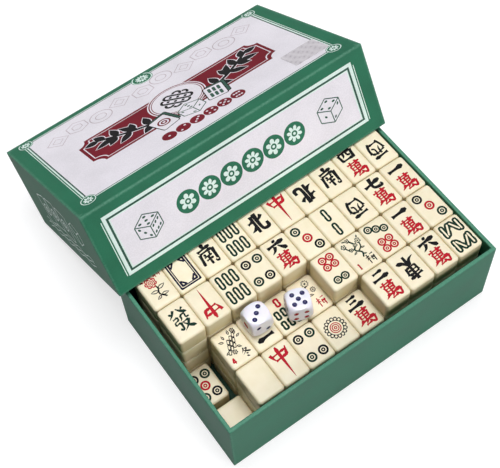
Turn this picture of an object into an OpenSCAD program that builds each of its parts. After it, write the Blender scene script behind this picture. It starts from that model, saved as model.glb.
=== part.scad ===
// Small travel mahjong set in a two-piece rigid cardboard case.
// The origin is the centre of the base's underside. X runs along the long side of the base, Y runs
// towards the back, where the lid leans, and Z is up.

/* [Case base] */
// Outside length of the base along X
base_w = 182; // [180:0.5:186]
// Outside depth of the base along Y
base_d = 111; // [109:0.5:114]
// Height of the base walls above the table
base_h = 53; // [50:0.5:54]
// Thickness of the bottom board of the base
bottom_board_t = 2.5; // [2:0.1:3]

/* [Lid] */
// Outside height of the lid, from its mouth edge to its top
lid_h = 55; // [54:0.5:58]
// Thickness of the top board of the lid
top_board_t = 2; // [1.5:0.1:2.5]
// Play between the lid's end walls and the base, each side
lid_play_x = 1.1; // [0.9:0.1:1.5]
// Play between the lid's long walls and the base, each side
lid_play_y = 0.4; // [0.3:0.1:1]
// Turn of the leaning lid about the vertical, in degrees
lid_yaw = 1; // [-1:0.1:1]
// Sideways offset of the leaning lid
lid_shift_x = -0.9; // [-0.9:0.1:0.5]
// Place of the leaning lid's front mouth edge along Y
lid_front_y = 44.2; // [43:0.1:45]
// Gap left between the leaning lid's edge and the tiles under it
lid_rest_gap = 0.05; // [0.02:0.01:0.2]

/* [Board and paper] */
// Thickness of the greyboard walls
board_t = 1.8; // [1.5:0.1:2]
// Thickness of the wrap, lining and underside papers
paper_t = 0.25; // [0.2:0.01:0.3]
// How far the wrap is turned in below the rim
turn_in = 14; // [8:1:20]
// Hairline seam where two cut edges of paper meet
seam = 0.05; // [0.03:0.01:0.1]
// Length of each leg of a paper corner stay
stay_leg = 12; // [8:1:20]
// Thickness of a paper corner stay
stay_t = 0.15; // [0.1:0.01:0.2]
// Distance of a corner stay's ends from the ends of the board
stay_end_gap = 3; // [2:0.5:6]

/* [Seal sticker] */
// Length of the sticker along the long side of the lid
sticker_w = 23.6; // [15:0.1:30]
// Depth of the sticker
sticker_d = 18.7; // [10:0.1:25]
// Thickness of the sticker
sticker_t = 0.1; // [0.05:0.01:0.2]
// Distance of the sticker from the lid's right edge
sticker_right = 10.8; // [5:0.1:15]
// Distance of the sticker from the lid's front edge
sticker_front = 17; // [10:0.1:25]

/* [Tiles] */
// Width of a tile
tile_w = 17; // [16.8:0.05:17.05]
// Length of a tile
tile_l = 24; // [23:0.1:24.2]
// Thickness of a tile
tile_t = 13.2; // [12.8:0.05:13.2]
// Chamfer that stands for the rounded edges of a tile
tile_edge = 1.1; // [0.5:0.1:2]
// Distance between the same edges of two tiles side by side
pitch_x = 17.1; // [17.1:0.01:17.15]
// Distance between the same edges of two tiles end to end
pitch_y = 24.3; // [24.3:0.05:24.5]
// Space between the lining and the tiles at the right end
right_gap = 2.15; // [1.5:0.05:2.5]
// Space between the lining and the tiles along the front
front_gap = 4.15; // [3.5:0.05:4.5]

/* [Dice] */
// Edge length of a die
die_edge = 14; // [12:0.5:15]
// Radius of the ball that rounds a die's corners off
die_round_r = 9.4; // [9:0.1:10]
// Centre of the left die
left_die_xy = [-40.9, -9.5]; // [-60:0.1:60]
// Turn of the left die about the vertical, in degrees
left_die_turn = -2; // [-10:1:10]
// Centre of the right die
right_die_xy = [-17.5, -16.1]; // [-60:0.1:60]
// Turn of the right die about the vertical, in degrees
right_die_turn = -21; // [-30:1:0]

/* [Hidden] */
// Rows and columns of the tile grid, the front row being row 0 and the right column being column 1
ROW_C = 0;
ROW_B = 1;
ROW_A = 2;
ROW_BACK = 3;
COLUMNS = 10;
LAYERS = 4;

// Tiles whose faces show: node name, row, column, layer, shift along X, shift along Y
LOOSE_TILES = [
  ["tile_a1_one_character", ROW_A, 1, 4, 0, 0],
  ["tile_a2_seven_character", ROW_A, 2, 4, 0, 0],
  ["tile_a3_west_wind", ROW_A, 3, 4, 0, 0],
  ["tile_a4_two_bamboo", ROW_A, 4, 4, 0, 0],
  ["tile_a5_three_dot", ROW_A, 5, 4, 0, 0],
  ["tile_a6_six_character", ROW_A, 6, 4, 0, 0],
  ["tile_a7_four_dot", ROW_A, 7, 4, 0, 0],
  ["tile_a8_six_bamboo", ROW_A, 8, 4, 0, 0],
  ["tile_a9_red_dragon", ROW_A, 9, 4, 0, 0],
  ["tile_a10_green_dragon", ROW_A, 10, 4, 0, 0],
  ["tile_b1_three_dot", ROW_B, 1, 4, 0, 0],
  ["tile_b2_one_character", ROW_B, 2, 4, 0, 0],
  ["tile_b3_seven_dot", ROW_B, 3, 4, 0, 0],
  ["tile_b4_first_flower", ROW_B, 4, 4, 0, 0],
  ["tile_b5_six_dot", ROW_B, 5, 4, 0, 0],
  ["tile_b6_third_flower", ROW_B, 6, 3, 0, 0],
  ["tile_b7_seven_bamboo", ROW_B, 7, 3, 0, 0],
  ["tile_b8_one_character", ROW_B, 8, 3, 0, 0],
  ["tile_b9_fourth_season", ROW_B, 9, 3, 0, 0],
  ["tile_b10_five_dot", ROW_B, 10, 1, -4, 0],
  ["tile_c1_eight_bamboo", ROW_C, 1, 4, 0, 0],
  ["tile_c2_six_character", ROW_C, 2, 4, 0, 0],
  ["tile_c3_east_wind", ROW_C, 3, 4, 0, 0],
  ["tile_c4_two_character", ROW_C, 4, 4, 0, 0],
  ["tile_c5_three_character", ROW_C, 5, 3, 0, 0],
  ["tile_c6_one_dot", ROW_C, 6, 3, 0, 0],
  ["tile_c7_four_dot", ROW_C, 7, 3, 0, 0],
  ["tile_c8_red_dragon", ROW_C, 8, 3, 0, 0],
  ["tile_c9_blank", ROW_C, 9, 3, 0, 0],
  ["tile_c10_blank", ROW_C, 10, 1, 0, -2.9],
];

// Blocks of tiles that lie under others: node name, rows, columns, layer
TILE_BLOCKS = [
  ["layer_1_back_tiles", [ROW_A, ROW_BACK], [1:COLUMNS], 1],
  ["layer_1_front_tiles", [ROW_C, ROW_B], [1:COLUMNS - 1], 1],
  ["layer_2_back_tiles", [ROW_A, ROW_BACK], [1:COLUMNS], 2],
  ["layer_2_front_tiles", [ROW_C, ROW_B], [1:COLUMNS - 1], 2],
  ["layer_3_back_tiles", [ROW_A, ROW_BACK], [1:COLUMNS], 3],
  ["layer_3_row_b_tiles", [ROW_B], [1:5], 3],
  ["layer_3_row_c_tiles", [ROW_C], [1:4], 3],
  ["top_back_row_tiles", [ROW_BACK], [1:COLUMNS], LAYERS],
];

CASE_NODES = [
  "base_bottom_board", "base_long_boards", "base_end_boards", "base_corner_stays",
  "base_wrap", "base_underside_sheet", "base_lining",
  "lid_top_board", "lid_long_boards", "lid_end_boards", "lid_corner_stays",
  "lid_wrap", "lid_lining", "lid_seal_sticker", "left_die", "right_die",
];

// Thickness of a finished wall: wrap, board, and lining or turn-in
wall_t = board_t + 2 * paper_t;
// Height of the lining's upper face in the base, on which the lowest tiles stand
floor_z = bottom_board_t + 2 * paper_t;
// Height of the upper faces of the top layer
tiles_top = floor_z + LAYERS * tile_t;

lid_w = base_w + 2 * (wall_t + lid_play_x);
lid_d = base_d + 2 * (wall_t + lid_play_y);
// The lid's inner mouth edge rests on the tiles and its outer back edge on the table
lid_tilt = asin((tiles_top + lid_rest_gap) / (lid_d - wall_t));
lid_front_z = lid_d * sin(lid_tilt);

// Right and front edges of the tile grid
grid_right = base_w / 2 - wall_t - right_gap;
grid_front = -base_d / 2 + wall_t + front_gap;
// Height of the tiles that carry the dice
dice_z = floor_z + 3 * tile_t;
DIE_FACETS = 64;

GREEN = "seagreen";
DARK_GREEN = "darkslategray";
GREYBOARD = "darkgray";
KRAFT = "tan";
IVORY = "ivory";

// Parts of a rigid box with its mouth up, centred on X and Y, with the outer face of its panel at z = 0

// Panel that closes the box, between its four walls
module panel_board(w, d, t) {
  inset = paper_t + board_t;
  translate([-w / 2 + inset, -d / 2 + inset, paper_t])
    cube([w - 2 * inset, d - 2 * inset, t]);
}

// Four strips of tape round the outer corners of the boards
module corner_stays(w, d, h) {
  for (sx = [0, 1], sy = [0, 1])
    mirror([sx, 0, 0])
      mirror([0, sy, 0])
        translate([-w / 2 + paper_t, -d / 2 + paper_t, stay_end_gap])
          difference() {
            cube([stay_leg, stay_leg, h - 2 * stay_end_gap]);
            translate([stay_t, stay_t, -1])
              cube([stay_leg, stay_leg, h]);
          }
}

// Front and back walls, as long as the box
module long_boards(w, d, h) {
  difference() {
    for (s = [0, 1])
      mirror([0, s, 0])
        translate([-w / 2 + paper_t, -d / 2 + paper_t, paper_t])
          cube([w - 2 * paper_t, board_t, h - 2 * paper_t]);
    corner_stays(w, d, h);
  }
}

// Left and right walls, fitted between the long ones
module end_boards(w, d, h) {
  inset = paper_t + board_t;
  difference() {
    for (s = [0, 1])
      mirror([s, 0, 0])
        translate([-w / 2 + paper_t, -d / 2 + inset, paper_t])
          cube([board_t, d - 2 * inset, h - 2 * paper_t]);
    corner_stays(w, d, h);
  }
}

// Wrap of one wall, along X with its outer face at y = 0: outer skin, rim and turned-in strip
module wall_wrap(skin, rim, strip, z0, h) {
  skin_top = h - paper_t - seam;
  translate([-skin / 2, 0, z0])
    cube([skin, paper_t, skin_top - z0]);
  translate([-rim / 2, 0, skin_top])
    cube([rim, paper_t, h - skin_top]);
  translate([-rim / 2, 0, h - paper_t])
    cube([rim, wall_t, paper_t]);
  translate([-strip / 2, wall_t - paper_t, h - turn_in])
    cube([strip, paper_t, turn_in]);
}

// Wraps of the four walls: the end ones fit between the long ones with a hairline seam
module wall_wraps(w, d, h, z0) {
  end_inset = 2 * (wall_t + seam);
  for (s = [0, 1])
    mirror([0, s, 0])
      translate([0, -d / 2, 0])
        wall_wrap(w, w, w - end_inset, z0, h);
  for (s = [0, 1])
    mirror([s, 0, 0])
      translate([-w / 2, 0, 0])
        rotate([0, 0, -90])
          wall_wrap(d - 2 * (paper_t + seam), d - end_inset, d - end_inset, z0, h);
}

// Lining: a sheet on the panel and strips up the walls to the turned-in wrap
module lining(w, d, h, panel_t) {
  z0 = paper_t + panel_t;
  inner_w = w - 2 * wall_t;
  inner_d = d - 2 * wall_t;
  difference() {
    translate([-inner_w / 2 - paper_t, -inner_d / 2 - paper_t, z0])
      cube([inner_w + 2 * paper_t, inner_d + 2 * paper_t, h - turn_in - seam - z0]);
    translate([-inner_w / 2, -inner_d / 2, z0 + paper_t])
      cube([inner_w, inner_d, h]);
  }
}

// The lid is a box with its mouth down, which leans over the back of the base
module lid_place() {
  translate([lid_shift_x, lid_front_y, lid_front_z])
    rotate([-lid_tilt, 0, lid_yaw])
      translate([0, lid_d / 2, lid_h])
        mirror([0, 0, 1])
          children();
}

// Base of the case

module base_bottom_board() {
  color(GREYBOARD)
    panel_board(base_w, base_d, bottom_board_t);
}

module base_long_boards() {
  color(GREYBOARD)
    long_boards(base_w, base_d, base_h);
}

module base_end_boards() {
  color(GREYBOARD)
    end_boards(base_w, base_d, base_h);
}

module base_corner_stays() {
  color(KRAFT)
    corner_stays(base_w, base_d, base_h);
}

module base_wrap() {
  color(GREEN)
    wall_wraps(base_w, base_d, base_h, 0);
}

// Sheet glued under the base, inside the lower edges of the wrap
module base_underside_sheet() {
  inset = paper_t + seam;
  color(DARK_GREEN)
    translate([-base_w / 2 + inset, -base_d / 2 + inset, 0])
      cube([base_w - 2 * inset, base_d - 2 * inset, paper_t]);
}

module base_lining() {
  color(DARK_GREEN)
    lining(base_w, base_d, base_h, bottom_board_t);
}

// Lid of the case

module lid_top_board() {
  color(GREYBOARD)
    lid_place()
      panel_board(lid_w, lid_d, top_board_t);
}

module lid_long_boards() {
  color(GREYBOARD)
    lid_place()
      long_boards(lid_w, lid_d, lid_h);
}

module lid_end_boards() {
  color(GREYBOARD)
    lid_place()
      end_boards(lid_w, lid_d, lid_h);
}

module lid_corner_stays() {
  color(KRAFT)
    lid_place()
      corner_stays(lid_w, lid_d, lid_h);
}

module lid_wrap() {
  color(GREEN)
    lid_place() {
      translate([-lid_w / 2, -lid_d / 2, 0])
        cube([lid_w, lid_d, paper_t]);
      wall_wraps(lid_w, lid_d, lid_h, paper_t + seam);
    }
}

module lid_lining() {
  color(DARK_GREEN)
    lid_place()
      lining(lid_w, lid_d, lid_h, top_board_t);
}

module lid_seal_sticker() {
  color("silver")
    lid_place()
      translate([lid_w / 2 - sticker_right - sticker_w, -lid_d / 2 + sticker_front, -sticker_t])
        cube([sticker_w, sticker_d, sticker_t]);
}

// Contents

// Outline of a rectangle a by b, centred, with its corners cut off by c
function cut_rectangle(a, b, c) = [
  [a / 2 - c, -b / 2], [a / 2, -b / 2 + c], [a / 2, b / 2 - c], [a / 2 - c, b / 2],
  [-a / 2 + c, b / 2], [-a / 2, b / 2 - c], [-a / 2, -b / 2 + c], [-a / 2 + c, -b / 2],
];

// One tile, centred on X and Y, standing on z = 0
module tile() {
  translate([0, 0, tile_t / 2])
    intersection() {
      linear_extrude(tile_t, center = true)
        polygon(cut_rectangle(tile_w, tile_l, tile_edge));
      rotate([90, 0, 0])
        linear_extrude(tile_l, center = true)
          polygon(cut_rectangle(tile_w, tile_t, tile_edge));
      rotate([90, 0, 90])
        linear_extrude(tile_w, center = true)
          polygon(cut_rectangle(tile_l, tile_t, tile_edge));
    }
}

// A tile in its cell of the grid
module tile_at(row, column, layer, shift_x = 0, shift_y = 0) {
  translate([
    grid_right - column * pitch_x + pitch_x / 2 + shift_x,
    grid_front + row * pitch_y + pitch_y / 2 + shift_y,
    floor_z + (layer - 1) * tile_t,
  ])
    color(IVORY)
      tile();
}

module loose_tile(t) {
  tile_at(t[1], t[2], t[3], t[4], t[5]);
}

module tile_block(b) {
  for (row = b[1], column = b[2])
    tile_at(row, column, b[3]);
}

// A cube whose edges and corners are ground off by a ball
module die(place, turn) {
  translate([place[0], place[1], dice_z + die_edge / 2])
    rotate([0, 0, turn])
      color("white")
        intersection() {
          cube(die_edge, center = true);
          sphere(r = die_round_r, $fn = DIE_FACETS);
        }
}

base_bottom_board();
base_long_boards();
base_end_boards();
base_corner_stays();
base_wrap();
base_underside_sheet();
base_lining();
lid_top_board();
lid_long_boards();
lid_end_boards();
lid_corner_stays();
lid_wrap();
lid_lining();
lid_seal_sticker();
die(left_die_xy, left_die_turn);  // left_die
die(right_die_xy, right_die_turn);  // right_die
for (t = LOOSE_TILES) loose_tile(t);
for (b = TILE_BLOCKS) tile_block(b);
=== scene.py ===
"""Small travel mahjong set in a two-piece rigid cardboard case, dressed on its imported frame.

Sizes in the classes are millimetres in the frame of the CAD model: the origin is the centre of the base's
underside, X runs to the right along its long side, Y towards the back, where the lid leans, and Z up.
"""
import logging
import math
from dataclasses import dataclass, field
from enum import Enum, IntEnum
from typing import Any, Sequence

import bpy
import numpy as np
from mathutils import Matrix, Vector
from mathutils.geometry import delaunay_2d_cdt


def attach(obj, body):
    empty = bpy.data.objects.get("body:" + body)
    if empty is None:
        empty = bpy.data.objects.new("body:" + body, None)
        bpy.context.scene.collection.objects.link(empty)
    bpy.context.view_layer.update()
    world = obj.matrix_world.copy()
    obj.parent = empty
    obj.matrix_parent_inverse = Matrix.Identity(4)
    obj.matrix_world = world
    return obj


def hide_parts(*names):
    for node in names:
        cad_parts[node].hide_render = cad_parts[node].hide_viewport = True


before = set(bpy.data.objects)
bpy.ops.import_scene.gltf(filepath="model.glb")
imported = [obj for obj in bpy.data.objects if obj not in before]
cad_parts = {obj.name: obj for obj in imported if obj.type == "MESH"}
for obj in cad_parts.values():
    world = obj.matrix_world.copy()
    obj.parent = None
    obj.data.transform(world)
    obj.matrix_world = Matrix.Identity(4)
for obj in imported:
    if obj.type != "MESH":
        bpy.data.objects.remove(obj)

LOG = logging.getLogger("mahjong_case")
MM = 0.001
SHARP_ANGLE = math.radians(38)
CUT_TOLERANCE = 1e-5
MERGE_DECIMALS = 4
# The smallest corner radius that a ring keeps, so that its points stay apart
LEAST_RADIUS = 0.02
WHITE = "#FFFFFF"
SPECULAR = "Specular IOR Level"
Colour = tuple[float, ...]
Tree = bpy.types.NodeTree
Socket = bpy.types.NodeSocket


# Colour and nodes


def linear(colour: str) -> Colour:
    """Turns an sRGB hex colour to linear light, by the sRGB curve.

    Args:
        colour: Six hex digits after a hash sign.

    Returns:
        Red, green, blue and an alpha of 1.
    """
    srgb = np.array([int(colour[i:i + 2], 16) for i in (1, 3, 5)]) / 255
    value = np.where(srgb <= 0.04045, srgb / 12.92, ((srgb + 0.055) / 1.055) ** 2.4)
    return (*map(float, value), 1.0)


def shaded(colour: str, share: float, lift: float = 0.0) -> Colour:
    """A share of a linear colour plus a lift, at most 1."""
    return (*(min(1.0, share * c + lift) for c in linear(colour)[:3]), 1.0)


def per_metre(size: float) -> float:
    """Texture scale at which one cell of a pattern is that many millimetres."""
    return 1 / (size * MM)


def add(tree: Tree, kind: str, inputs: dict[Any, Any] | None = None, **settings: Any) -> bpy.types.Node:
    """Adds one shader node.

    Args:
        tree: The material's node tree.
        kind: The node's type, without its prefix.
        inputs: For each input, by name or number, a constant, a socket to link, or a node whose first
            output in use is linked.
        **settings: The node's own properties.

    Returns:
        The node.
    """
    made = tree.nodes.new("ShaderNode" + kind)
    for key, value in settings.items():
        setattr(made, key, value)
    for key, value in (inputs or {}).items():
        if isinstance(value, bpy.types.Node):
            value = next(output for output in value.outputs if output.enabled)
        if isinstance(value, bpy.types.NodeSocket):
            tree.links.new(value, made.inputs[key])
        else:
            made.inputs[key].default_value = value
    return made


class Finish:
    """A surface as it is made. Each kind says how the shader's sockets are fed."""

    name: str

    def sockets(self, tree: Tree, place: Socket) -> dict[str, Any]:
        """What feeds the shader, from the object coordinates."""
        raise NotImplementedError

    def material(self) -> bpy.types.Material:
        """Makes the material of this finish, once.

        Returns:
            The material.
        """
        found = bpy.data.materials.get(self.name)
        if found:
            return found
        made = bpy.data.materials.new(self.name)
        made.use_nodes = True
        tree = made.node_tree
        tree.nodes.clear()
        place = add(tree, "TexCoord").outputs["Object"]
        shader = add(tree, "BsdfPrincipled", self.sockets(tree, place))
        add(tree, "OutputMaterial", {"Surface": shader})
        return made


@dataclass(frozen=True)
class GrainedPaper(Finish):
    """Cover paper embossed with a fine leather grain and printed in one ink.

    The eye sees an even colour broken by a tiny pebbled relief, a soft satin sheen, and paler rubbed fibres
    along the folds and rims, where the ink wears first, drawn brighter there as a painted highlight. The real
    grain is about 0.4 mm and is drawn at twice that, so that it shows.
    """

    name: str
    colour: str
    # Colour of the paler folds and rims: rubbed paper, and a painted highlight
    worn: str = "#7FB09B"
    roughness: float = 0.55
    clouding: float = 0.14
    relief: float = 0.05
    specular: float = 0.42
    grain: float = 0.8
    mottle: float = 22.0
    wear: float = 0.32

    def sockets(self, tree: Tree, place: Socket) -> dict[str, Any]:
        """Ink with a slight mottle, worn and lit by a painted highlight along the edge attribute, over a
        pebbled relief.

        Args:
            tree: The material's node tree.
            place: Object coordinates.

        Returns:
            What feeds the shader.
        """
        pebbles = add(tree, "TexVoronoi", {"Vector": place, "Scale": per_metre(self.grain),
                                           "Randomness": 0.85})
        clouds = add(tree, "TexNoise", {"Vector": place, "Scale": per_metre(self.mottle), "Detail": 3})
        fine = add(tree, "TexNoise", {"Vector": place, "Scale": per_metre(self.grain * 1.7), "Detail": 4,
                                      "Roughness": 0.6})
        soft = add(tree, "MapRange", {"Value": clouds, "From Min": 0.3, "From Max": 0.7})
        ink = add(tree, "Mix", {0: soft, 6: shaded(self.colour, 1 - self.clouding),
                                7: shaded(self.colour, 1.06, 0.002)}, data_type="RGBA")
        pits = add(tree, "MapRange", {"Value": pebbles, "From Max": 0.75, "To Min": 0.93, "To Max": 1.03})
        specked = add(tree, "Mix", {0: 1.0, 6: ink, 7: pits}, data_type="RGBA", blend_type="MULTIPLY")
        # Paler paper along folds and rims by the edge value: rubbed wear, and a painted highlight there
        edge = add(tree, "Attribute", attribute_name="edge").outputs["Fac"]
        rubbed = add(tree, "Math", {0: edge, 1: fine}, operation="MULTIPLY")
        bare = add(tree, "MapRange", {"Value": rubbed, "From Min": 0.2, "From Max": 0.62,
                                      "To Max": self.wear})
        colour = add(tree, "Mix", {0: bare, 6: specked, 7: linear(self.worn)}, data_type="RGBA")
        height = add(tree, "Math", {0: pebbles, 1: fine}, operation="ADD")
        bump = add(tree, "Bump", {"Height": height, "Strength": 0.45, "Distance": self.relief * MM})
        gloss = add(tree, "MapRange", {"Value": clouds, "To Min": self.roughness - 0.07,
                                       "To Max": self.roughness + 0.07})
        return {"Base Color": colour, "Roughness": gloss, "Normal": bump, SPECULAR: self.specular}


@dataclass(frozen=True)
class TileResin(Finish):
    """Polished ivory melamine of the tiles.

    The eye sees creamy white faces with a faint cloudiness, a darker, warmer painted shade down the sides,
    and small soft highlights along the rounded edges. Each tile is a shade of its own.
    """

    name: str = "polished_ivory_melamine"
    top: str = "#F7EDD3"
    # Painted shade of the sides: the ivory drawn darker and warmer
    side: str = "#DCCB9B"
    clouding: float = 6.0
    scuffs: float = 0.9
    roughness: float = 0.32

    def sockets(self, tree: Tree, place: Socket) -> dict[str, Any]:
        """Cream with a darker, warmer painted shade down the sides, in a shade that the tone attribute sets.

        Args:
            tree: The material's node tree.
            place: Object coordinates.

        Returns:
            What feeds the shader.
        """
        clouds = add(tree, "TexNoise", {"Vector": place, "Scale": per_metre(self.clouding), "Detail": 4})
        # The side value says where the painted shade of the sides lies
        side = add(tree, "Attribute", attribute_name="side").outputs["Fac"]
        tone = add(tree, "Attribute", attribute_name="tone").outputs["Fac"]
        drift = add(tree, "MapRange", {"Value": clouds, "From Min": 0.3, "From Max": 0.7, "To Min": -0.08,
                                       "To Max": 0.14})
        side_shade = add(tree, "Math", {0: side, 1: drift}, operation="ADD", use_clamp=True)
        body = add(tree, "Mix", {0: side_shade, 6: linear(self.top), 7: linear(self.side)}, data_type="RGBA")
        shade = add(tree, "MapRange", {"Value": tone, "To Min": 0.955})
        colour = add(tree, "Mix", {0: 1.0, 6: body, 7: shade}, data_type="RGBA", blend_type="MULTIPLY")
        scuffed = add(tree, "TexNoise", {"Vector": place, "Scale": per_metre(self.scuffs), "Detail": 5})
        gloss = add(tree, "MapRange", {"Value": scuffed, "To Min": self.roughness - 0.06,
                                       "To Max": self.roughness + 0.12})
        bump = add(tree, "Bump", {"Height": clouds, "Strength": 0.15, "Distance": 0.05 * MM})
        return {"Base Color": colour, "Roughness": gloss, "Normal": bump, SPECULAR: 0.35,
                "Subsurface Weight": 0.06, "Subsurface Scale": 0.002}


@dataclass(frozen=True)
class StreakedFinish(Finish):
    """A plain material whose tone, gloss and relief follow one noise, which may be drawn out in streaks.

    The eye sees a slightly uneven colour that turns to the second one in spots or streaks.
    """

    name: str
    colour: str
    second: Colour
    # Size of the noise, its detail, and how it is drawn out along the axes
    size: float
    detail: float
    drawn: tuple[float, float, float] = (1.0, 1.0, 1.0)
    # The stretch of the noise that takes the colour over to the second one
    blend: tuple[float, float] = (0.0, 1.0)
    gloss: tuple[float, float] = (0.6, 0.6)
    # Depth of the relief and its strength
    relief: tuple[float, float] = (0.0, 0.0)
    constants: tuple[tuple[str, float], ...] = ()

    def sockets(self, tree: Tree, place: Socket) -> dict[str, Any]:
        """The noise mixes the two tones and sets the gloss between its ends, and the relief.

        Args:
            tree: The material's node tree.
            place: Object coordinates.

        Returns:
            What feeds the shader.
        """
        drawn = add(tree, "Mapping", {"Vector": place, "Scale": self.drawn})
        noise = add(tree, "TexNoise", {"Vector": drawn, "Scale": per_metre(self.size), "Detail": self.detail})
        share = add(tree, "MapRange", {"Value": noise, "From Min": self.blend[0], "From Max": self.blend[1]})
        colour = add(tree, "Mix", {0: share, 6: linear(self.colour), 7: self.second}, data_type="RGBA")
        low, high = self.gloss
        fed = {"Base Color": colour, "Roughness": low, **dict(self.constants)}
        if high > low:
            fed["Roughness"] = add(tree, "MapRange", {"Value": noise, "To Min": low, "To Max": high})
        depth, strength = self.relief
        if depth:
            fed["Normal"] = add(tree, "Bump", {"Height": noise, "Strength": strength, "Distance": depth * MM})
        return fed


def enamel(name: str, colour: str, roughness: float = 0.5, specular: float = 0.1) -> StreakedFinish:
    """Enamel brushed into grooves and pips: dense, uneven by a brush hair, glossier where it pooled.

    Args:
        name: The finish's name.
        colour: Its colour.
        roughness: Its roughness, before the streaks.
        specular: Its specular level.

    Returns:
        The finish.
    """
    return StreakedFinish(name, colour, shaded(colour, 1.2, 0.004), 1.4, 3, blend=(0.4, 0.75),
                          gloss=(roughness - 0.1, roughness + 0.15), relief=(0.04, 0.25),
                          constants=((SPECULAR, specular),))


def lining(name: str, colour: str) -> StreakedFinish:
    """Uncoated dyed paper inside the case and under it: dull, with short fibres and a dusty tone.

    Args:
        name: The finish's name.
        colour: Its colour.

    Returns:
        The finish.
    """
    return StreakedFinish(name, colour, shaded(colour, 1.35, 0.01), 0.6, 5, drawn=(1.0, 0.35, 1.0),
                          blend=(0.35, 0.75), gloss=(0.85, 0.85), relief=(0.06, 0.4),
                          constants=((SPECULAR, 0.25),))


# Gummed brown paper at the corners of the boards: streaky along its length, slightly shiny
KRAFT_TAPE = StreakedFinish("gummed_kraft_tape", "#B08A5E", linear("#9A744A"), 0.8, 4,
                            drawn=(1.0, 1.0, 0.15), relief=(0.04, 0.3))
# Polished white resin of the dice: bluish white, slightly milky, with a soft clear gloss
DIE_RESIN = StreakedFinish("polished_white_resin", "#F3F1FA", linear("#E6E4F1"), 5.0, 3, gloss=(0.16, 0.28),
                           constants=(("Subsurface Weight", 0.08), ("Subsurface Scale", 0.002)))


@dataclass(frozen=True)
class Greyboard(Finish):
    """Board of pressed waste pulp: warm grey, matt, with dark and light specks of old print."""

    name: str = "pressed_greyboard"
    colour: str = "#A8A49B"
    speck: str = "#6F6C66"
    speck_size: float = 0.7
    clouding: float = 3.0

    def sockets(self, tree: Tree, place: Socket) -> dict[str, Any]:
        """Small specks over a clouded grey.

        Args:
            tree: The material's node tree.
            place: Object coordinates.

        Returns:
            What feeds the shader.
        """
        cells = add(tree, "TexVoronoi", {"Vector": place, "Scale": per_metre(self.speck_size)})
        clouds = add(tree, "TexNoise", {"Vector": place, "Scale": per_metre(self.clouding), "Detail": 5})
        near = add(tree, "MapRange", {"Value": cells, "From Min": 0.25, "From Max": 0.05})
        specks = add(tree, "Math", {0: near, 1: clouds}, operation="MULTIPLY")
        colour = add(tree, "Mix", {0: specks, 6: linear(self.colour), 7: linear(self.speck)},
                     data_type="RGBA")
        bump = add(tree, "Bump", {"Height": clouds, "Strength": 0.4, "Distance": 0.1 * MM})
        return {"Base Color": colour, "Roughness": 0.9, "Normal": bump}


@dataclass(frozen=True)
class SealFilm(Finish):
    """Thin greyish polyester film of the seal, with a faint embossed diamond pattern that catches light."""

    name: str = "grey_polyester_film"
    colour: str = "#DDD8DE"
    shade: str = "#B7B1B9"
    pattern: float = 9.0

    def sockets(self, tree: Tree, place: Socket) -> dict[str, Any]:
        """Two crossed waves make diamonds of tone, gloss and relief.

        Args:
            tree: The material's node tree.
            place: Object coordinates.

        Returns:
            What feeds the shader.
        """
        across = add(tree, "Mapping", {"Vector": place, "Rotation": (0.0, 0.0, math.pi / 2)}).outputs[0]
        waves = [add(tree, "TexWave", {"Vector": at, "Scale": per_metre(self.pattern), "Distortion": 3.0,
                                       "Detail": detail}, bands_direction="DIAGONAL").outputs["Fac"]
                 for at, detail in ((place, 1.0), (across, 2.0))]
        both = add(tree, "Math", dict(enumerate(waves)), operation="MULTIPLY")
        colour = add(tree, "Mix", {0: both, 6: linear(self.colour), 7: linear(self.shade)},
                     data_type="RGBA")
        gloss = add(tree, "MapRange", {"Value": both, "To Min": 0.2, "To Max": 0.42})
        bump = add(tree, "Bump", {"Height": both, "Strength": 0.2, "Distance": 0.03 * MM})
        return {"Base Color": colour, "Roughness": gloss, "Normal": bump, "Coat Weight": 0.3,
                "Coat Roughness": 0.15}


@dataclass(frozen=True)
class StudioPaper(Finish):
    """Seamless white background paper. The camera sees it almost white, with the object's soft shadow."""

    name: str = "white_background_paper"
    colour: str = "#A6A6A8"
    lift: float = 0.72
    reflected: float = 0.5

    def sockets(self, tree: Tree, place: Socket) -> dict[str, Any]:
        """Matt paper that seen directly or in a reflection also glows a little.

        Args:
            tree: The material's node tree.
            place: Object coordinates, which an even sheet has no use for.

        Returns:
            What feeds the shader.
        """
        rays = add(tree, "LightPath").outputs
        mirrored = add(tree, "Math", {0: rays["Is Glossy Ray"], 1: self.reflected}, operation="MULTIPLY")
        direct = add(tree, "Math", {0: rays["Is Camera Ray"], 1: rays["Is Transmission Ray"]},
                     operation="MAXIMUM")
        seen = add(tree, "Math", {0: direct, 1: mirrored}, operation="MAXIMUM")
        glow = add(tree, "Math", {0: seen, 1: self.lift}, operation="MULTIPLY")
        return {"Base Color": linear(self.colour), "Roughness": 0.95, SPECULAR: 0.0,
                "Emission Color": linear(WHITE), "Emission Strength": glow}


# Meshes


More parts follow.
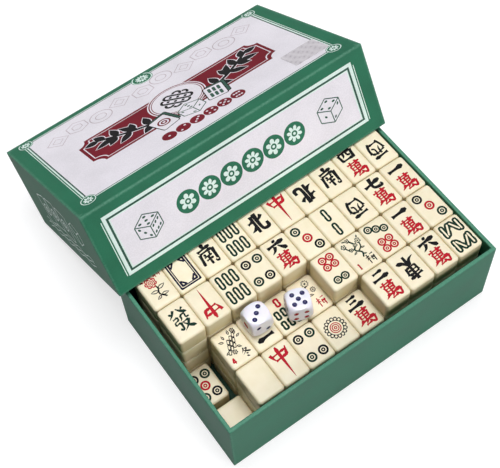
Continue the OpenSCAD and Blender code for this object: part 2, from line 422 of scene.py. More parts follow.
class Surface:
    """The points and faces of one piece, gathered in millimetres, then made a mesh.

    Each face has a finish number and is smooth or flat. Each point has named values between 0 and 1.
    """

    def __init__(self) -> None:
        """Starts with nothing."""
        self.points: list[np.ndarray] = []
        self.faces: list[np.ndarray] = []
        self.finishes: list[np.ndarray] = []
        self.smooth: list[np.ndarray] = []
        # Point values: edge pales the paper with wear and a painted highlight, side lays the tiles' painted
        # shade, tone is each tile's own shade
        self.values: dict[str, list[np.ndarray]] = {"edge": [], "side": [], "tone": []}
        self.count = 0

    def add_points(self, points: np.ndarray, **values: Any) -> int:
        """Adds points.

        Args:
            points: Their places, one row each.
            **values: For each named value, one number or one for each point.

        Returns:
            The number of the first one.
        """
        first = self.count
        self.points.append(points)
        for key, kept in self.values.items():
            kept.append(np.broadcast_to(np.asarray(values.get(key, 0.0), float), len(points)))
        self.count += len(points)
        return first

    def add_faces(self, faces: np.ndarray, finish: Any = 0, smooth: bool = True) -> None:
        """Adds faces with the same count of corners.

        Args:
            faces: Point numbers, one row for each face, turning left as seen from outside.
            finish: One finish number, or one for each face.
            smooth: Whether they are shaded smooth.
        """
        self.faces.append(np.asarray(faces))
        self.finishes.append(np.broadcast_to(np.asarray(finish), len(faces)))
        self.smooth.append(np.full(len(faces), smooth))

    def piece(self, name: str, finishes: Sequence[Finish],
              place: np.ndarray | None = None) -> bpy.types.Object:
        """Makes the mesh object, with equal points merged and its place in its mesh.

        Args:
            name: The object's name.
            finishes: The materials, in the order of the finish numbers.
            place: A 4 by 4 matrix in millimetres that sets the piece in the frame.

        Returns:
            The object, at the origin.
        """
        points = np.vstack(self.points)
        if place is not None:
            points = points @ place[:3, :3].T + place[:3, 3]
        corners = np.concatenate([f.ravel() for f in self.faces])
        totals = np.concatenate([np.full(len(f), f.shape[1]) for f in self.faces])
        used = np.unique(corners)
        _, keep, back = np.unique(np.round(points[used], MERGE_DECIMALS), axis=0, return_index=True,
                                  return_inverse=True)
        number = np.zeros(len(points), int)
        number[used] = back.ravel()
        mesh = bpy.data.meshes.new(name)
        mesh.vertices.add(len(keep))
        mesh.vertices.foreach_set("co", (points[used][keep] * MM).astype(np.float32).ravel())
        mesh.loops.add(len(corners))
        mesh.loops.foreach_set("vertex_index", number[corners].astype(np.int32))
        mesh.polygons.add(len(totals))
        mesh.polygons.foreach_set("loop_start", (np.cumsum(totals) - totals).astype(np.int32))
        mesh.polygons.foreach_set("material_index", np.concatenate(self.finishes).astype(np.int32))
        mesh.polygons.foreach_set("use_smooth", np.concatenate(self.smooth))
        mesh.update(calc_edges=True)
        for key, kept in self.values.items():
            value = np.concatenate(kept)[used][keep]
            if value.any():
                layer = mesh.attributes.new(key, "FLOAT", "POINT")
                layer.data.foreach_set("value", value.astype(np.float32))
        mesh.validate()
        mesh.set_sharp_from_angle(angle=SHARP_ANGLE)
        for finish in finishes:
            mesh.materials.append(finish.material())
        made = bpy.data.objects.new(name, mesh)
        bpy.context.scene.collection.objects.link(made)
        return made


def settle(piece: bpy.types.Object, node: str, body: str) -> bpy.types.Object:
    """Sets a finished piece on its body in place of its CAD node.

    Args:
        piece: The finished piece.
        node: The node it stands for.
        body: The body it rides on.

    Returns:
        The piece.
    """
    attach(piece, body)
    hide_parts(node)
    LOG.info("%s stands for %s on %s, %d faces", piece.name, node, body, len(piece.data.polygons))
    return piece


def rounded_ring(half: Sequence[float], radius: float, steps: int, margin: float = 0.0) -> np.ndarray:
    """Outline of a rectangle with round corners, turning left from its right edge.

    Each corner is a quarter circle about a point that lies the radius inside both edges. With a margin the
    straight edges also have points that far before and after each quarter.

    Args:
        half: Half the width and half the depth.
        radius: Radius of the corners.
        steps: Segments in each corner.
        margin: Distance of the extra points from the corners, or 0 for none.

    Returns:
        The points, the same number for each corner.
    """
    turn = np.linspace(0, math.pi / 2, steps + 1)
    arc = radius * np.stack([np.cos(turn), np.sin(turn)], 1)
    if margin:
        arc = np.vstack([[radius, -margin], arc, [-margin, radius]])
    signs = np.array([[1, 1], [-1, 1], [-1, -1], [1, -1]])
    quarter = np.array([[[1, 0], [0, 1]], [[0, -1], [1, 0]], [[-1, 0], [0, -1]], [[0, 1], [-1, 0]]])
    centres = signs * (np.asarray(half, float) - radius)
    return (np.einsum("kij,nj->kni", quarter, arc) + centres[:, None]).reshape(-1, 2)


def ring_stack(half: Sequence[float], corner: float, profile: np.ndarray, steps: int,
               margin: float = 0.0) -> np.ndarray:
    """Rounded rectangles stacked along a profile.

    Ring number k is the outline drawn in by the profile's inset k, with its corner radius less by the same
    amount, at the profile's height k.

    Args:
        half: Half the width and half the depth at no inset.
        corner: Corner radius at no inset.
        profile: Rows of inset and height.
        steps: Segments in each corner.
        margin: As in rounded_ring.

    Returns:
        Points, by ring, place in the ring, and axis.
    """
    flat = np.stack([rounded_ring((half[0] - inset, half[1] - inset), max(corner - inset, LEAST_RADIUS),
                                  steps, margin) for inset, _ in profile])
    high = np.broadcast_to(profile[:, 1][:, None, None], flat.shape[:2] + (1,))
    return np.concatenate([flat, high], 2)


def ring_faces(rings: int, around: int) -> np.ndarray:
    """Quads between neighbouring closed rings, facing away from the inside.

    Args:
        rings: How many rings.
        around: Points in each.

    Returns:
        Four point numbers for each quad, by ring and place in the ring.
    """
    number = np.arange(rings * around).reshape(rings, around)
    after = np.roll(number, -1, 1)
    return np.stack([number[:-1], after[:-1], after[1:], number[1:]], -1)


def quarter_profile(start: Sequence[float], end: Sequence[float], bulge: Sequence[float],
                    steps: int) -> np.ndarray:
    """Quarter ellipse from start to end, about the corner of their box that is opposite the bulge.

    Args:
        start: First inset and height.
        end: Last inset and height.
        bulge: The corner that the arc rounds off.
        steps: Segments in the arc.

    Returns:
        Rows of inset and height.
    """
    a, b, c = (np.asarray(p, float) for p in (start, end, bulge))
    centre = a + b - c
    turn = np.linspace(0, math.pi / 2, steps + 1)[:, None]
    return centre + (a - centre) * np.cos(turn) + (b - centre) * np.sin(turn)


# Flat artwork: painted or printed areas, laid one over another


@dataclass(frozen=True)
class Mark:
    """One painted area: its outline in millimetres and its finish number, 0 being the bare surface."""

    outline: np.ndarray
    finish: int


def cut(flat: np.ndarray, edges: Sequence[Any], loops: Sequence[Any],
        kind: int) -> tuple[np.ndarray, Any, Any]:
    """Constrained triangulation that keeps given edges or closed loops.

    Args:
        flat: The points.
        edges: Pairs of point numbers.
        loops: Lists of point numbers.
        kind: 0 for the convex whole, 1 for what lies inside the loops.

    Returns:
        The points, old ones to their full precision, the triangles, and for each the loops it lies in.
    """
    found, _, triangles, sources, _, owners = delaunay_2d_cdt([Vector(p) for p in flat], edges, loops, kind,
                                                              CUT_TOLERANCE, True)
    return np.array([flat[s[0]] if s else tuple(p) for p, s in zip(found, sources)]), triangles, owners


def inlay(boundary: np.ndarray, marks: Sequence[Mark], groove: float = 0.0
          ) -> tuple[np.ndarray, np.ndarray, np.ndarray, np.ndarray, np.ndarray]:
    """Cuts a flat region along the outlines of the marks on it.

    Each triangle takes the finish of the last mark over it. With a groove, painted triangles lie that much
    lower, and where a painted triangle meets a bare one, an upright wall joins the two levels.

    Args:
        boundary: Outline of the region.
        marks: The painted areas, the lowest first.
        groove: Depth of the painted areas.

    Returns:
        Points with their height, triangles, their finishes, walls, and the walls' finishes.
    """
    outlines = [boundary, *(m.outline for m in marks)]
    areas = [float(np.sum(o[:, 0] * np.roll(o[:, 1], -1) - np.roll(o[:, 0], -1) * o[:, 1])) for o in outlines]
    outlines = [o if area > 0 else o[::-1] for o, area in zip(outlines, areas)]
    ends = np.cumsum([len(o) for o in outlines])
    loops = [list(range(end - len(o), end)) for o, end in zip(outlines, ends)]
    xy, found, owners = cut(np.vstack(outlines), [], loops, 1)
    inside = [(t, max(o)) for t, o in zip(found, owners) if 0 in o]
    triangles = np.array([t for t, _ in inside])
    finish = np.array([0, *(m.finish for m in marks)])[[o for _, o in inside]]
    count = len(xy)
    level = (finish > 0) & (groove > 0)
    points = np.vstack([np.column_stack([xy, np.full(count, z)]) for z in (0.0, -groove)])
    start, end = triangles.ravel(), np.roll(triangles, -1, 1).ravel()
    owner = np.repeat(np.arange(len(triangles)), 3)
    key, back = start * count + end, end * count + start
    order = np.argsort(key)
    place = np.clip(np.searchsorted(key[order], back), 0, len(key) - 1)
    other = order[place]
    wall = (key[other] == back) & ~level[owner] & level[owner[other]]
    a, b = start[wall], end[wall]
    walls = np.stack([a, a + count, b + count, b], 1)
    return points, triangles + count * level[:, None], finish, walls, finish[owner[other][wall]]


def circle(centre: Sequence[float], radius: float, steps: int = 20, turn: float = 0.0) -> np.ndarray:
    """Points of a circle."""
    angle = np.linspace(0, 2 * math.pi, steps, endpoint=False) + turn
    return np.asarray(centre, float) + radius * np.stack([np.cos(angle), np.sin(angle)], 1)


def discs(centre: Sequence[float], rings: Sequence[tuple[float, int]], steps: int) -> list[Mark]:
    """Discs laid one over another, from their radii and finishes, the largest first."""
    return [Mark(circle(centre, radius, steps), finish) for radius, finish in rings]


def petals(centre: Sequence[float], count: int, inner: float, outer: float, steps: int = 6) -> np.ndarray:
    """Outline of a rosette: the radius swings between inner and outer, once for each petal.

    Args:
        centre: Its middle.
        count: How many petals.
        inner: Radius between two petals.
        outer: Radius at their tips.
        steps: Points for each petal.

    Returns:
        The points, turning left.
    """
    angle = np.linspace(0, 2 * math.pi, count * steps, endpoint=False)
    radius = inner + (outer - inner) * np.abs(np.sin(angle * count / 2)) ** 0.6
    return np.asarray(centre, float) + radius[:, None] * np.stack([np.cos(angle), np.sin(angle)], 1)


def leaf_outline(start: float, length: float, half_width: float) -> np.ndarray:
    """A pointed leaf along X: its half width follows a skewed sine along its length.

    Args:
        start: Where its foot is.
        length: From foot to tip.
        half_width: Half its greatest width.

    Returns:
        The points of its outline.
    """
    t = np.linspace(0, 1, 9)
    x, y = start + t * length, half_width * np.sin(math.pi * t ** 0.8)
    return np.vstack([np.stack([x, y], 1), np.stack([x, -y], 1)[::-1][1:-1]])


def oblong(x0: float, y0: float, x1: float, y1: float) -> np.ndarray:
    """Outline of a rectangle from its lowest to its highest corner."""
    return np.array([[x0, y0], [x1, y0], [x1, y1], [x0, y1]], float)


def soft_oblongs(centre: Sequence[float], rows: Sequence[tuple[float, float, float, int]]) -> list[Mark]:
    """Rectangles with round corners about a centre, from their widths, heights, radii and finishes."""
    return [Mark(rounded_ring((w / 2, h / 2), radius, 3) + np.asarray(centre, float), finish)
            for w, h, radius, finish in rows]


def curve_through(points: np.ndarray, count: int) -> np.ndarray:
    """Smooth line through points.

    Between two points it is a cubic whose direction at each is half the way from the point before to the
    one after. A line of two points stays straight.

    Args:
        points: Two or more points.
        count: How many to return for each stretch.

    Returns:
        Points along the line, its ends included.
    """
    if len(points) == 2:
        return points[0] + np.linspace(0, 1, count + 1)[:, None] * (points[1] - points[0])
    slope = np.gradient(points, axis=0)
    t = np.linspace(0, 1, count, endpoint=False)[None, :, None]
    p, q, m, n = points[:-1, None], points[1:, None], slope[:-1, None], slope[1:, None]
    line = ((2 * t**3 - 3 * t**2 + 1) * p + (t**3 - 2 * t**2 + t) * m
            + (3 * t**2 - 2 * t**3) * q + (t**3 - t**2) * n)
    return np.vstack([line.reshape(-1, 2), points[-1]])


def ribbon(line: np.ndarray, width: Any) -> np.ndarray:
    """Outline of a line with a width: each side lies half the width off it, square to its direction.

    Args:
        line: Points along the line.
        width: One width, or one for each point.

    Returns:
        The points of the outline.
    """
    along = np.gradient(line, axis=0)
    along /= np.maximum(np.linalg.norm(along, axis=1, keepdims=True), 1e-9)
    off = np.stack([-along[:, 1], along[:, 0]], 1) * (np.broadcast_to(width, len(line)) / 2)[:, None]
    return np.vstack([line + off, (line - off)[::-1]])


def hollow(outline: np.ndarray, width: float, finish: int, inside: int = 0) -> list[Mark]:
    """A closed line: the outline in one finish and, drawn in towards its middle, again in another.

    Args:
        outline: The outer outline.
        width: Width of the line.
        finish: Finish of the line.
        inside: Finish of what it encloses.

    Returns:
        The two marks.
    """
    centre = outline.mean(0)
    reach = np.linalg.norm(outline - centre, axis=1, keepdims=True)
    inner = centre + (outline - centre) * np.maximum(1 - width / np.maximum(reach, 1e-6), 0.1)
    return [Mark(outline, finish), Mark(inner, inside)]


def turned(marks: Sequence[Mark], degrees: float) -> list[Mark]:
    """The same marks turned about the origin."""
    c, s = math.cos(math.radians(degrees)), math.sin(math.radians(degrees))
    return [Mark(m.outline @ np.array([[c, s], [-s, c]]), m.finish) for m in marks]


def moved(marks: Sequence[Mark], x: float, y: float, scale: float = 1.0) -> list[Mark]:
    """The same marks scaled about the origin, then moved."""
    return [Mark(m.outline * scale + np.array([x, y]), m.finish) for m in marks]


def pips(number: int, step: float) -> np.ndarray:
    """Places of one to six pips about a centre.

    Args:
        number: How many.
        step: Distance of the outer ones from the centre along each axis.

    Returns:
        One row for each pip.
    """
    corners = [(1, 1), (-1, 1), (-1, -1), (1, -1)]
    spots = {1: [(0, 0)], 2: corners[::2], 3: [(1, 1), (0, 0), (-1, -1)], 4: corners, 5: [(0, 0), *corners],
             6: [(1, 1), (0, 1), (-1, 1), (-1, -1), (0, -1), (1, -1)]}
    return step * np.array(spots[number], float)


def number_rows(words: Sequence[str]) -> list[list[float]]:
    """The numbers in words such as 1,2.5."""
    return [[float(c) for c in word.split(",")] for word in words]


# Width of a brush stroke along its length, as shares of the glyph's weight
BRUSH = {
    "h": (0.95, 0.6, 0.62, 0.75, 1.3, 0.55),
    "v": (1.15, 0.85, 0.8, 0.85, 0.95, 0.75),
    "p": (1.15, 1.05, 0.9, 0.68, 0.42, 0.1),
    "n": (0.4, 0.62, 0.9, 1.15, 1.3, 0.3),
    "d": (0.3, 0.95, 1.2, 1.15, 0.85, 0.2),
    "t": (0.5, 1.25, 1.15, 0.95, 0.6, 0.1),
    "l": (0.6, 1.0, 1.0, 1.0, 1.0, 0.6),
}

# Strokes of each glyph in a square of 100: brush and its weight, then the points it passes
GLYPHS = {
    "one": "h1.7 2,46 50,50 98,58",
    "two": "h1.2 22,74 80,82; h1.5 2,22 50,26 98,32",
    "three": "h1.1 22,84 80,92; h1 28,52 72,58; h1.5 2,12 50,16 98,24",
    "four": "v1.2 10,82 16,14; h1.2 10,84 90,92; v1.4 90,90 82,12; p 40,84 36,58 26,44; "
            "v 60,86 60,58 76,50; h1.1 16,20 84,24",
    "five": "h1.2 14,86 84,94; v1.1 48,88 34,12; h 20,52 76,58; v1.2 76,58 68,12; h1.4 0,8 100,16",
    "six": "d1.3 46,102 56,82; h1.5 0,60 100,74; p1.2 40,52 28,22 6,4; n1.3 58,52 76,24 96,2",
    "seven": "h1.5 0,42 100,68; v1.4 50,104 44,56 46,24 62,12 92,12 88,30",
    "eight": "p1.3 38,84 34,46 4,6; n1.3 50,96 62,48 98,8",
    "nine": "p1.2 42,100 38,50 4,4; v1.3 6,66 70,76 66,34 74,12 98,14 92,32",
    "myriad": "h1 12,88 90,92; v 34,102 32,80; v 66,104 66,82; v 24,76 28,46; h 24,76 78,80; "
              "v 78,80 72,48; h.8 28,62 74,65; h.8 28,48 72,51; v 50,78 50,30; p1.2 30,42 18,28 0,18; "
              "h1.4 14,30 56,34 98,42; v1.2 96,40 88,8 72,14; p.9 52,32 34,12; h.9 30,10 68,16; "
              "d.9 60,28 74,10",
    "east": "v1.3 50,104 50,-4; h1.2 14,84 86,92; v 22,74 26,42; h1 22,74 80,78; v1.1 80,78 74,44; "
            "h.8 26,60 74,62; h.9 26,45 74,48; p1.3 46,40 30,18 2,8; n1.3 54,40 70,20 100,12",
    "south": "t1.4 50,112 50,84; h1.3 8,80 92,90; v1.3 14,66 4,6; h1.2 14,66 92,72; v1.4 94,72 88,4 76,12; "
             "d.9 32,60 40,46; p.9 70,62 60,46; h.9 26,42 76,46; h.9 28,25 74,29; v1.1 50,44 50,-2",
    "west": "h1.5 6,92 94,100; v1.2 6,62 12,34 24,4; h1.1 8,64 60,76 92,70; v1.4 92,70 90,38 76,4; "
            "p1 38,84 36,54 26,36; v1 60,84 60,50 76,40; h1.1 24,14 78,18",
    "north": "v1.3 38,96 36,2; h1.2 6,62 36,68; p1.3 38,36 20,24 0,18; p1.2 92,82 76,68 58,60; "
             "v1.4 60,102 58,30 68,10 94,12 96,36",
    "middle": "t1.25 50,112 50,60 50,-66; p1.15 6,88 13,66 22,42; h1 12,73 88,80; "
              "n1.1 95,93 86,68 78,44; h1.15 18,46 82,52",
    "gain": "p1.2 42,102 26,84 4,70; d 12,96 26,84; n1.3 56,102 74,84 100,70; p1 90,98 74,86; "
            "h1 16,62 42,66; v 42,66 40,50; h.9 18,48 42,52; v 18,48 14,34; h1 14,34 42,38; "
            "v1.3 42,38 38,6 22,12; p1 58,66 56,50 46,42; v1 58,66 80,68 80,50 96,48; h1 50,34 86,38; "
            "p1.3 86,38 68,14 40,-4; n1.4 54,30 74,10 102,-4",
    "winter": "p1 44,100 30,76 8,56; h.8 36,82 72,88; p1.1 74,88 50,60 8,36; n1.2 30,76 60,56 98,40; "
              "d1.1 42,40 62,28; d1.1 34,18 58,0",
    "bloom": "v1 26,100 24,0; h1 4,70 46,76; p.9 26,66 4,34; d.8 30,60 44,46; h1 60,88 98,92; "
             "v1 64,66 60,22; h1 52,48 100,52; v1 92,66 84,0; h.9 62,24 92,28; d1 74,64 80,36",
    "n1": "l1.6 50,0 50,98; l1.3 50,98 30,78; l1.3 28,0 72,0",
    "n2": "l1.6 18,74 36,98 70,96 76,70 46,34 16,2; l1.6 16,2 84,4",
    "n3": "l1.7 16,82 46,100 76,82 66,58 42,52; l1.7 42,52 72,46 84,22 54,0 14,14",
    "n4": "l1.6 62,0 62,98; l1.6 62,98 10,28; l1.6 8,28 92,28",
}


def glyph(name: str, centre: Sequence[float], size: Sequence[float], finish: int,
          weight: float = 9.0) -> list[Mark]:
    """A glyph or small drawing in brush strokes.

    Args:
        name: Its name in GLYPHS.
        centre: Where its square's centre goes.
        size: Width and height of its square.
        finish: The paint.
        weight: Width of a plain stroke, in hundredths of the square.

    Returns:
        One mark for each stroke.
    """
    marks = []
    scale = np.asarray(size, float) / 100
    for text in GLYPHS[name].split(";"):
        brush, *words = text.split()
        points = np.array(number_rows(words))
        line = (curve_through(points, 9 if len(points) == 2 else 5) - 50) * scale + np.asarray(centre, float)
        shares = BRUSH[brush[0]]
        share = np.interp(np.linspace(0, 1, len(line)), np.linspace(0, 1, len(shares)), shares)
        width = share * float(brush[1:] or 1) * weight * float(scale.mean())
        marks.append(Mark(ribbon(line, width), finish))
    return marks


# Tiles


class Paint(IntEnum):
    """Finish numbers on a tile or die."""

    BARE = 0
    BLACK = 1
    GREEN = 2
    RED = 3
    NAVY = 4


TILE_FINISHES = (
    TileResin(), enamel("black_groove_enamel", "#0D0E11"), enamel("green_groove_enamel", "#0F2E22"),
    enamel("red_groove_enamel", "#B51226"), enamel("navy_groove_enamel", "#13162E"),
)

# Parts of each plant, painted black (K), green (G) or red (R). A stem has its width, then the points it
# passes; a leaf its place, angle and length; a blossom its place, radius and petals; a cane its place; a
# ring of petals its place, radius, petals and line; a seed its place and radius
PLANTS = {
    "plum": "stem G 1 .8,-4 2,-1 -.6,2 1.2,5 -1,9.6; stem G .8 .6,.4 3.4,2.2 4.4,5.4; "
            "stem G .8 -.2,2.6 -3.2,3.6 -5,7; blossom G -1,9.4,1.5,5 -4.9,7.2,1.7,5 4.3,6.4,1.9,5 "
            "1.4,4.8,1.5,5 -2.4,3.2,1.4,5; leaf G 3,1.6,-10,2.6 -.4,.6,200,2.6 4.8,8,60,2.2 "
            "-2.4,9.6,150,2.2 1.7,-2.2,-20,2.4",
    "orchid": "stem K .8 0,-4 -1.68,1.96 -5.6,5.6; stem K .8 0,-4 -.96,3.15 -3.2,9; "
              "stem K .8 0,-4 .42,3.43 1.4,9.8; stem K .8 0,-4 1.68,2.38 5.6,6.8; "
              "stem K .8 0,-4 1.74,.84 5.8,2.4; blossom R -1.6,5.4,1.7,4 2.8,4.8,1.7,4 -3.6,1.2,1.7,4",
    "daisy": "stem K .9 -2,-3.5 .5,0 -.6,3 2,6; blossom K 2.4,7.4,2.4,10 -3.2,5.6,2,10 4.2,2,1.8,10; "
             "leaf K 0,1,180,3.6 0,0,-20,3.2 -.4,3,130,2.8 -2,-2.6,160,3",
    "cane": "cane K -2.6,.6 -.2,2 2,3; leaf K -3.4,4.6,150,3.2 -2.2,6,100,3 1.4,7.2,80,3.2 4.2,3.8,20,3 "
            "4,5.8,50,2.8 -4,-1.6,200,2.6 1.4,-.8,-40,3; blossom K 4.4,8.6,1.5,6 -1.4,-3.4,1.6,6",
    "rose": "stem K .9 -.8,3.4 .6,-.4 -.4,-4 2.4,-7.6; leaf K .4,-1,14,5 0,-2.4,168,4.8 .4,-5,-8,4.4 "
            "0,-5.4,205,3.6; ring R -1.2,4.4,3.7,7,.8 -1.2,4.4,2.6,5,.6 -1.2,4.4,1.5,5,.5; "
            "leaf R -4.4,6.4,140,2.4 2,6.6,40,2.4; seed R -1.2,4.4,.5",
}
PAINTS = {"K": Paint.BLACK, "G": Paint.GREEN, "R": Paint.RED, "N": Paint.NAVY}

# Signs that stand alone on a face: glyph, height of its middle, size, paint and weight
SIGNS = {
    "east_wind": ("east", 0.3, (12.0, 14.6), Paint.BLACK, 12),
    "south_wind": ("south", 0.3, (10.2, 12.8), Paint.BLACK, 13.5),
    "west_wind": ("west", 0.3, (10.6, 11.8), Paint.BLACK, 12),
    "north_wind": ("north", 0.3, (11.2, 12.8), Paint.BLACK, 14.5),
    "green_dragon": ("gain", 0.3, (11.2, 13.4), Paint.GREEN, 9.5),
    "red_dragon": ("middle", 3.4, (11.6, 11.6), Paint.RED, 12.5),
}

# Flower and season tiles: plant, numeral and its paint, sign and its paint
FLOWERS = {
    "first_flower": "plum n1 R bloom K", "second_flower": "orchid n2 R bloom K",
    "third_flower": "daisy n3 K bloom R", "fourth_flower": "cane n4 R bloom K",
    "first_season": "orchid n1 R winter K", "third_season": "daisy n3 R winter K",
    "fourth_season": "cane n4 R winter K",
}
NUMBERS = ("one", "two", "three", "four", "five", "six", "seven", "eight", "nine")


@dataclass
class TileFaces:
    """Artwork of the tile faces: the traditional suits, winds, dragons and flowers, engraved and painted."""

    dot_radius: float = 3.0
    small_dot_radius: float = 2.55
    least_dot_radius: float = 2.2
    stick_width: float = 3.6
    stick_line: float = 1.3
    fine_line: float = 0.62
    glyph_width: float = 11.0
    cache: dict[str, list[Mark]] = field(default_factory=dict)

    def dot(self, x: float, y: float, paint: Paint, radius: float) -> list[Mark]:
        """A thick ring round a small one."""
        return (discs((x, y), ((radius, paint), (0.6 * radius, Paint.BARE)), 24)
                + discs((x, y), ((0.42 * radius, paint), (0.15 * radius, Paint.BARE)), 12))

    def stick(self, x: float, y: float, length: float, paint: Paint, lean: float = 0.0) -> list[Mark]:
        """A bamboo stick: a long outline that narrows at its middle joint, hollow along its length.

        Args:
            x: Centre across the tile.
            y: Centre along the tile.
            length: Length over its ends.
            paint: Its paint.
            lean: Turn from upright, in degrees.

        Returns:
            The outline and its bare middle.
        """
        t = np.linspace(-1, 1, 25)
        swell = 1 - 0.16 * np.exp(-(t / 0.13) ** 2)
        half = self.stick_width / 2 * swell * (1 - np.abs(t) ** 5) ** 0.5
        right = np.stack([half, t * length / 2], 1)
        outline = np.vstack([right[1:], (right * [-1, 1])[::-1][1:]])
        middle = rounded_ring((self.stick_width / 2 - self.stick_line, length / 2 - self.stick_line), 0.45, 3)
        return moved(turned([Mark(outline, paint), Mark(middle, Paint.BARE)], lean), x, y)

    def one_dot(self) -> list[Mark]:
        """The large dot: a black wheel with a scalloped rim round red rings.

        Returns:
            Its marks.
        """
        red, bare = Paint.RED, Paint.BARE
        marks = [Mark(petals((0, 0), 16, 5.7, 6.7), Paint.BLACK)]
        marks += [Mark(circle(p, 0.72, 8), bare) for p in circle((0, 0), 5.3, 16, math.pi / 16)]
        marks += discs((0, 0), ((4.2, bare),), 28)
        rings = ((3.3, red), (2.7, bare), (2.2, red), (1.6, bare), (1.0, red), (0.4, bare))
        return marks + discs((0, 0), rings, 20)

    def dots(self, count: int) -> list[Mark]:
        """The dots suit.

        Args:
            count: Number of dots.

        Returns:
            Their marks.
        """
        if count == 1:
            return self.one_dot()
        wide, high, r, s, t = 3.8, 6.3, self.dot_radius, self.small_dot_radius, self.least_dot_radius
        green, red, black = Paint.GREEN, Paint.RED, Paint.BLACK
        four = [(-wide, high, black, r), (wide, high, green, r),
                (-wide, -high, green, r), (wide, -high, black, r)]
        rows = {
            2: [(0, high, green, r), (0, -high, black, r)],
            3: [(-3.5, 6.9, green, r), (0, 0, red, r), (3.5, -6.9, black, r)],
            4: four,
            5: four[:2] + [(0, 0, red, r)] + four[2:],
            6: [(x, y, red if y > 0 else green, s) for y in (7.4, 2.5, -6.9) for x in (-2.5, 2.5)],
            7: [(-4.2, 7.9, green, s), (0, 5.9, green, s), (4.2, 3.9, green, s)]
               + [(x, y, red, s) for y in (-2.6, -7.5) for x in (-2.5, 2.5)],
            8: [(x, y, black, t) for y in (7.6, 2.6, -2.6, -7.6) for x in (-2.6, 2.6)],
            9: [(x, y, c, t) for y, c in ((7.2, black), (0, red), (-7.2, green)) for x in (-4.8, 0, 4.8)],
        }
        return [m for row in rows[count] for m in self.dot(*row)]

    def bamboo(self, count: int) -> list[Mark]:
        """The bamboo suit.

        Args:
            count: Number of sticks.

        Returns:
            Their marks, or for one a plum branch.
        """
        tall, short, green, red = 9.4, 6.2, Paint.GREEN, Paint.RED
        if count == 1:
            return [Mark(m.outline * [1.0, 1.35] - [0, 4], m.finish) for m in self.plant("plum")]
        if count == 8:
            sticks = [(5.0 * s, 5.4 * k, 0) for s in (-1, 1) for k in (-1, 1)]
            sticks += [(2.3 * s, 5.6 * k, 27 * s * k) for s in (-1, 1) for k in (-1, 1)]
            drawn = [self.stick(x, y, 9.6, green, lean) for x, y, lean in sticks]
            return [d[0] for d in drawn] + [d[1] for d in drawn]
        rows = {
            2: [(0, 5.4, tall, green), (0, -5.4, tall, green)],
            3: [(0, 5.4, tall, green), (-3.8, -5.4, tall, green), (3.8, -5.4, tall, green)],
            4: [(x, y, tall, green) for y in (5.4, -5.4) for x in (-3.8, 3.8)],
            5: [(x, y, tall, green) for y in (5.4, -5.4) for x in (-4.5, 4.5)] + [(0, 0, tall, red)],
            6: [(x, y, tall, green) for y in (5.4, -5.4) for x in (-4.5, 0, 4.5)],
            7: [(0, 7.1, short, red)] + [(x, y, short, green) for y in (0.2, -6.8) for x in (-4.3, 0, 4.3)],
            9: [(x, y, short, red if x == 0 else green) for y in (7.1, 0.1, -6.9) for x in (-4.3, 0, 4.3)],
        }
        return [m for row in rows[count] for m in self.stick(*row)]

    def character(self, numeral: str) -> list[Mark]:
        """The characters suit: a black numeral over the red sign for ten thousand.

        Args:
            numeral: The numeral's name.

        Returns:
            Both glyphs.
        """
        high = {"one": 7.5, "two": 7.5, "three": 8.0}.get(numeral, 8.2)
        return (glyph(numeral, (0, 6.1), (self.glyph_width, high), Paint.BLACK, 17)
                + glyph("myriad", (0, -4.6), (self.glyph_width, 11.6), Paint.RED, 12))

    def white_dragon(self) -> list[Mark]:
        """A double frame with the corners of the inner one filled.

        Returns:
            Its marks.
        """
        navy, bare = Paint.NAVY, Paint.BARE
        marks = soft_oblongs((0, 0), ((13.4, 19.8, 0.8, navy), (11.4, 17.8, 0.8, bare),
                                      (10.7, 17.1, 0.8, navy), (9.4, 15.8, 0.8, bare)))
        tip = np.array([[4.8, 8.0], [4.8, 4.6], [4.0, 4.4], [1.6, 7.2], [1.7, 8.0]])
        core = np.array([[4.1, 7.3], [4.1, 5.9], [3.0, 7.3]])
        for flip in ((-1, -1), (-1, 1), (1, -1), (1, 1)):
            marks += [Mark(tip * flip, navy), Mark(core * flip, bare)]
        return marks

    def leaf(self, paint: Paint, x: float, y: float, angle: float, length: float) -> list[Mark]:
        """A pointed leaf in outline."""
        outline = leaf_outline(0, length, 0.24 * length)
        return moved(turned(hollow(outline, self.fine_line, paint), angle), x, y)

    def ring(self, paint: Paint, x: float, y: float, radius: float, count: float, line: float) -> list[Mark]:
        """A ring of petals in outline."""
        return hollow(petals((x, y), int(count), radius * 0.8, radius, 5), line, paint)

    def blossom(self, paint: Paint, x: float, y: float, radius: float, count: float) -> list[Mark]:
        """A blossom in outline with a small heart."""
        marks = hollow(petals((x, y), int(count), radius * 0.62, radius, 5), self.fine_line, paint)
        return marks + discs((x, y), ((radius * 0.28, paint),), 8)

    def cane(self, paint: Paint, x: float, y: float) -> list[Mark]:
        """A leaning cane of three joints in outline.

        Args:
            paint: Its paint.
            x: Centre across the tile.
            y: Centre along the tile.

        Returns:
            Its marks.
        """
        marks = []
        for k in (-1, 0, 1):
            joint = soft_oblongs((0, 3.2 * k), ((1.7, 3.2, 0.5, paint),))[0].outline
            marks += hollow(joint, self.fine_line, paint)
        return moved(turned(marks, -24), x, y)

    def seed(self, paint: Paint, x: float, y: float, radius: float) -> list[Mark]:
        """A small disc."""
        return discs((x, y), ((radius, paint),), 8)

    def plant(self, name: str) -> list[Mark]:
        """One of the plants on the flower tiles, drawn from its words.

        Args:
            name: Its name in PLANTS.

        Returns:
            Its marks, in the upper part of the face.
        """
        draw = {"leaf": self.leaf, "ring": self.ring, "blossom": self.blossom, "cane": self.cane,
                "seed": self.seed}
        marks = []
        for text in PLANTS[name].split(";"):
            kind, letter, *words = text.split()
            paint, rows = PAINTS[letter], number_rows(words)
            if kind == "stem":
                marks.append(Mark(ribbon(curve_through(np.array(rows[1:]), 5), rows[0][0]), paint))
            else:
                marks += [m for row in rows for m in draw[kind](paint, *row)]
        return marks

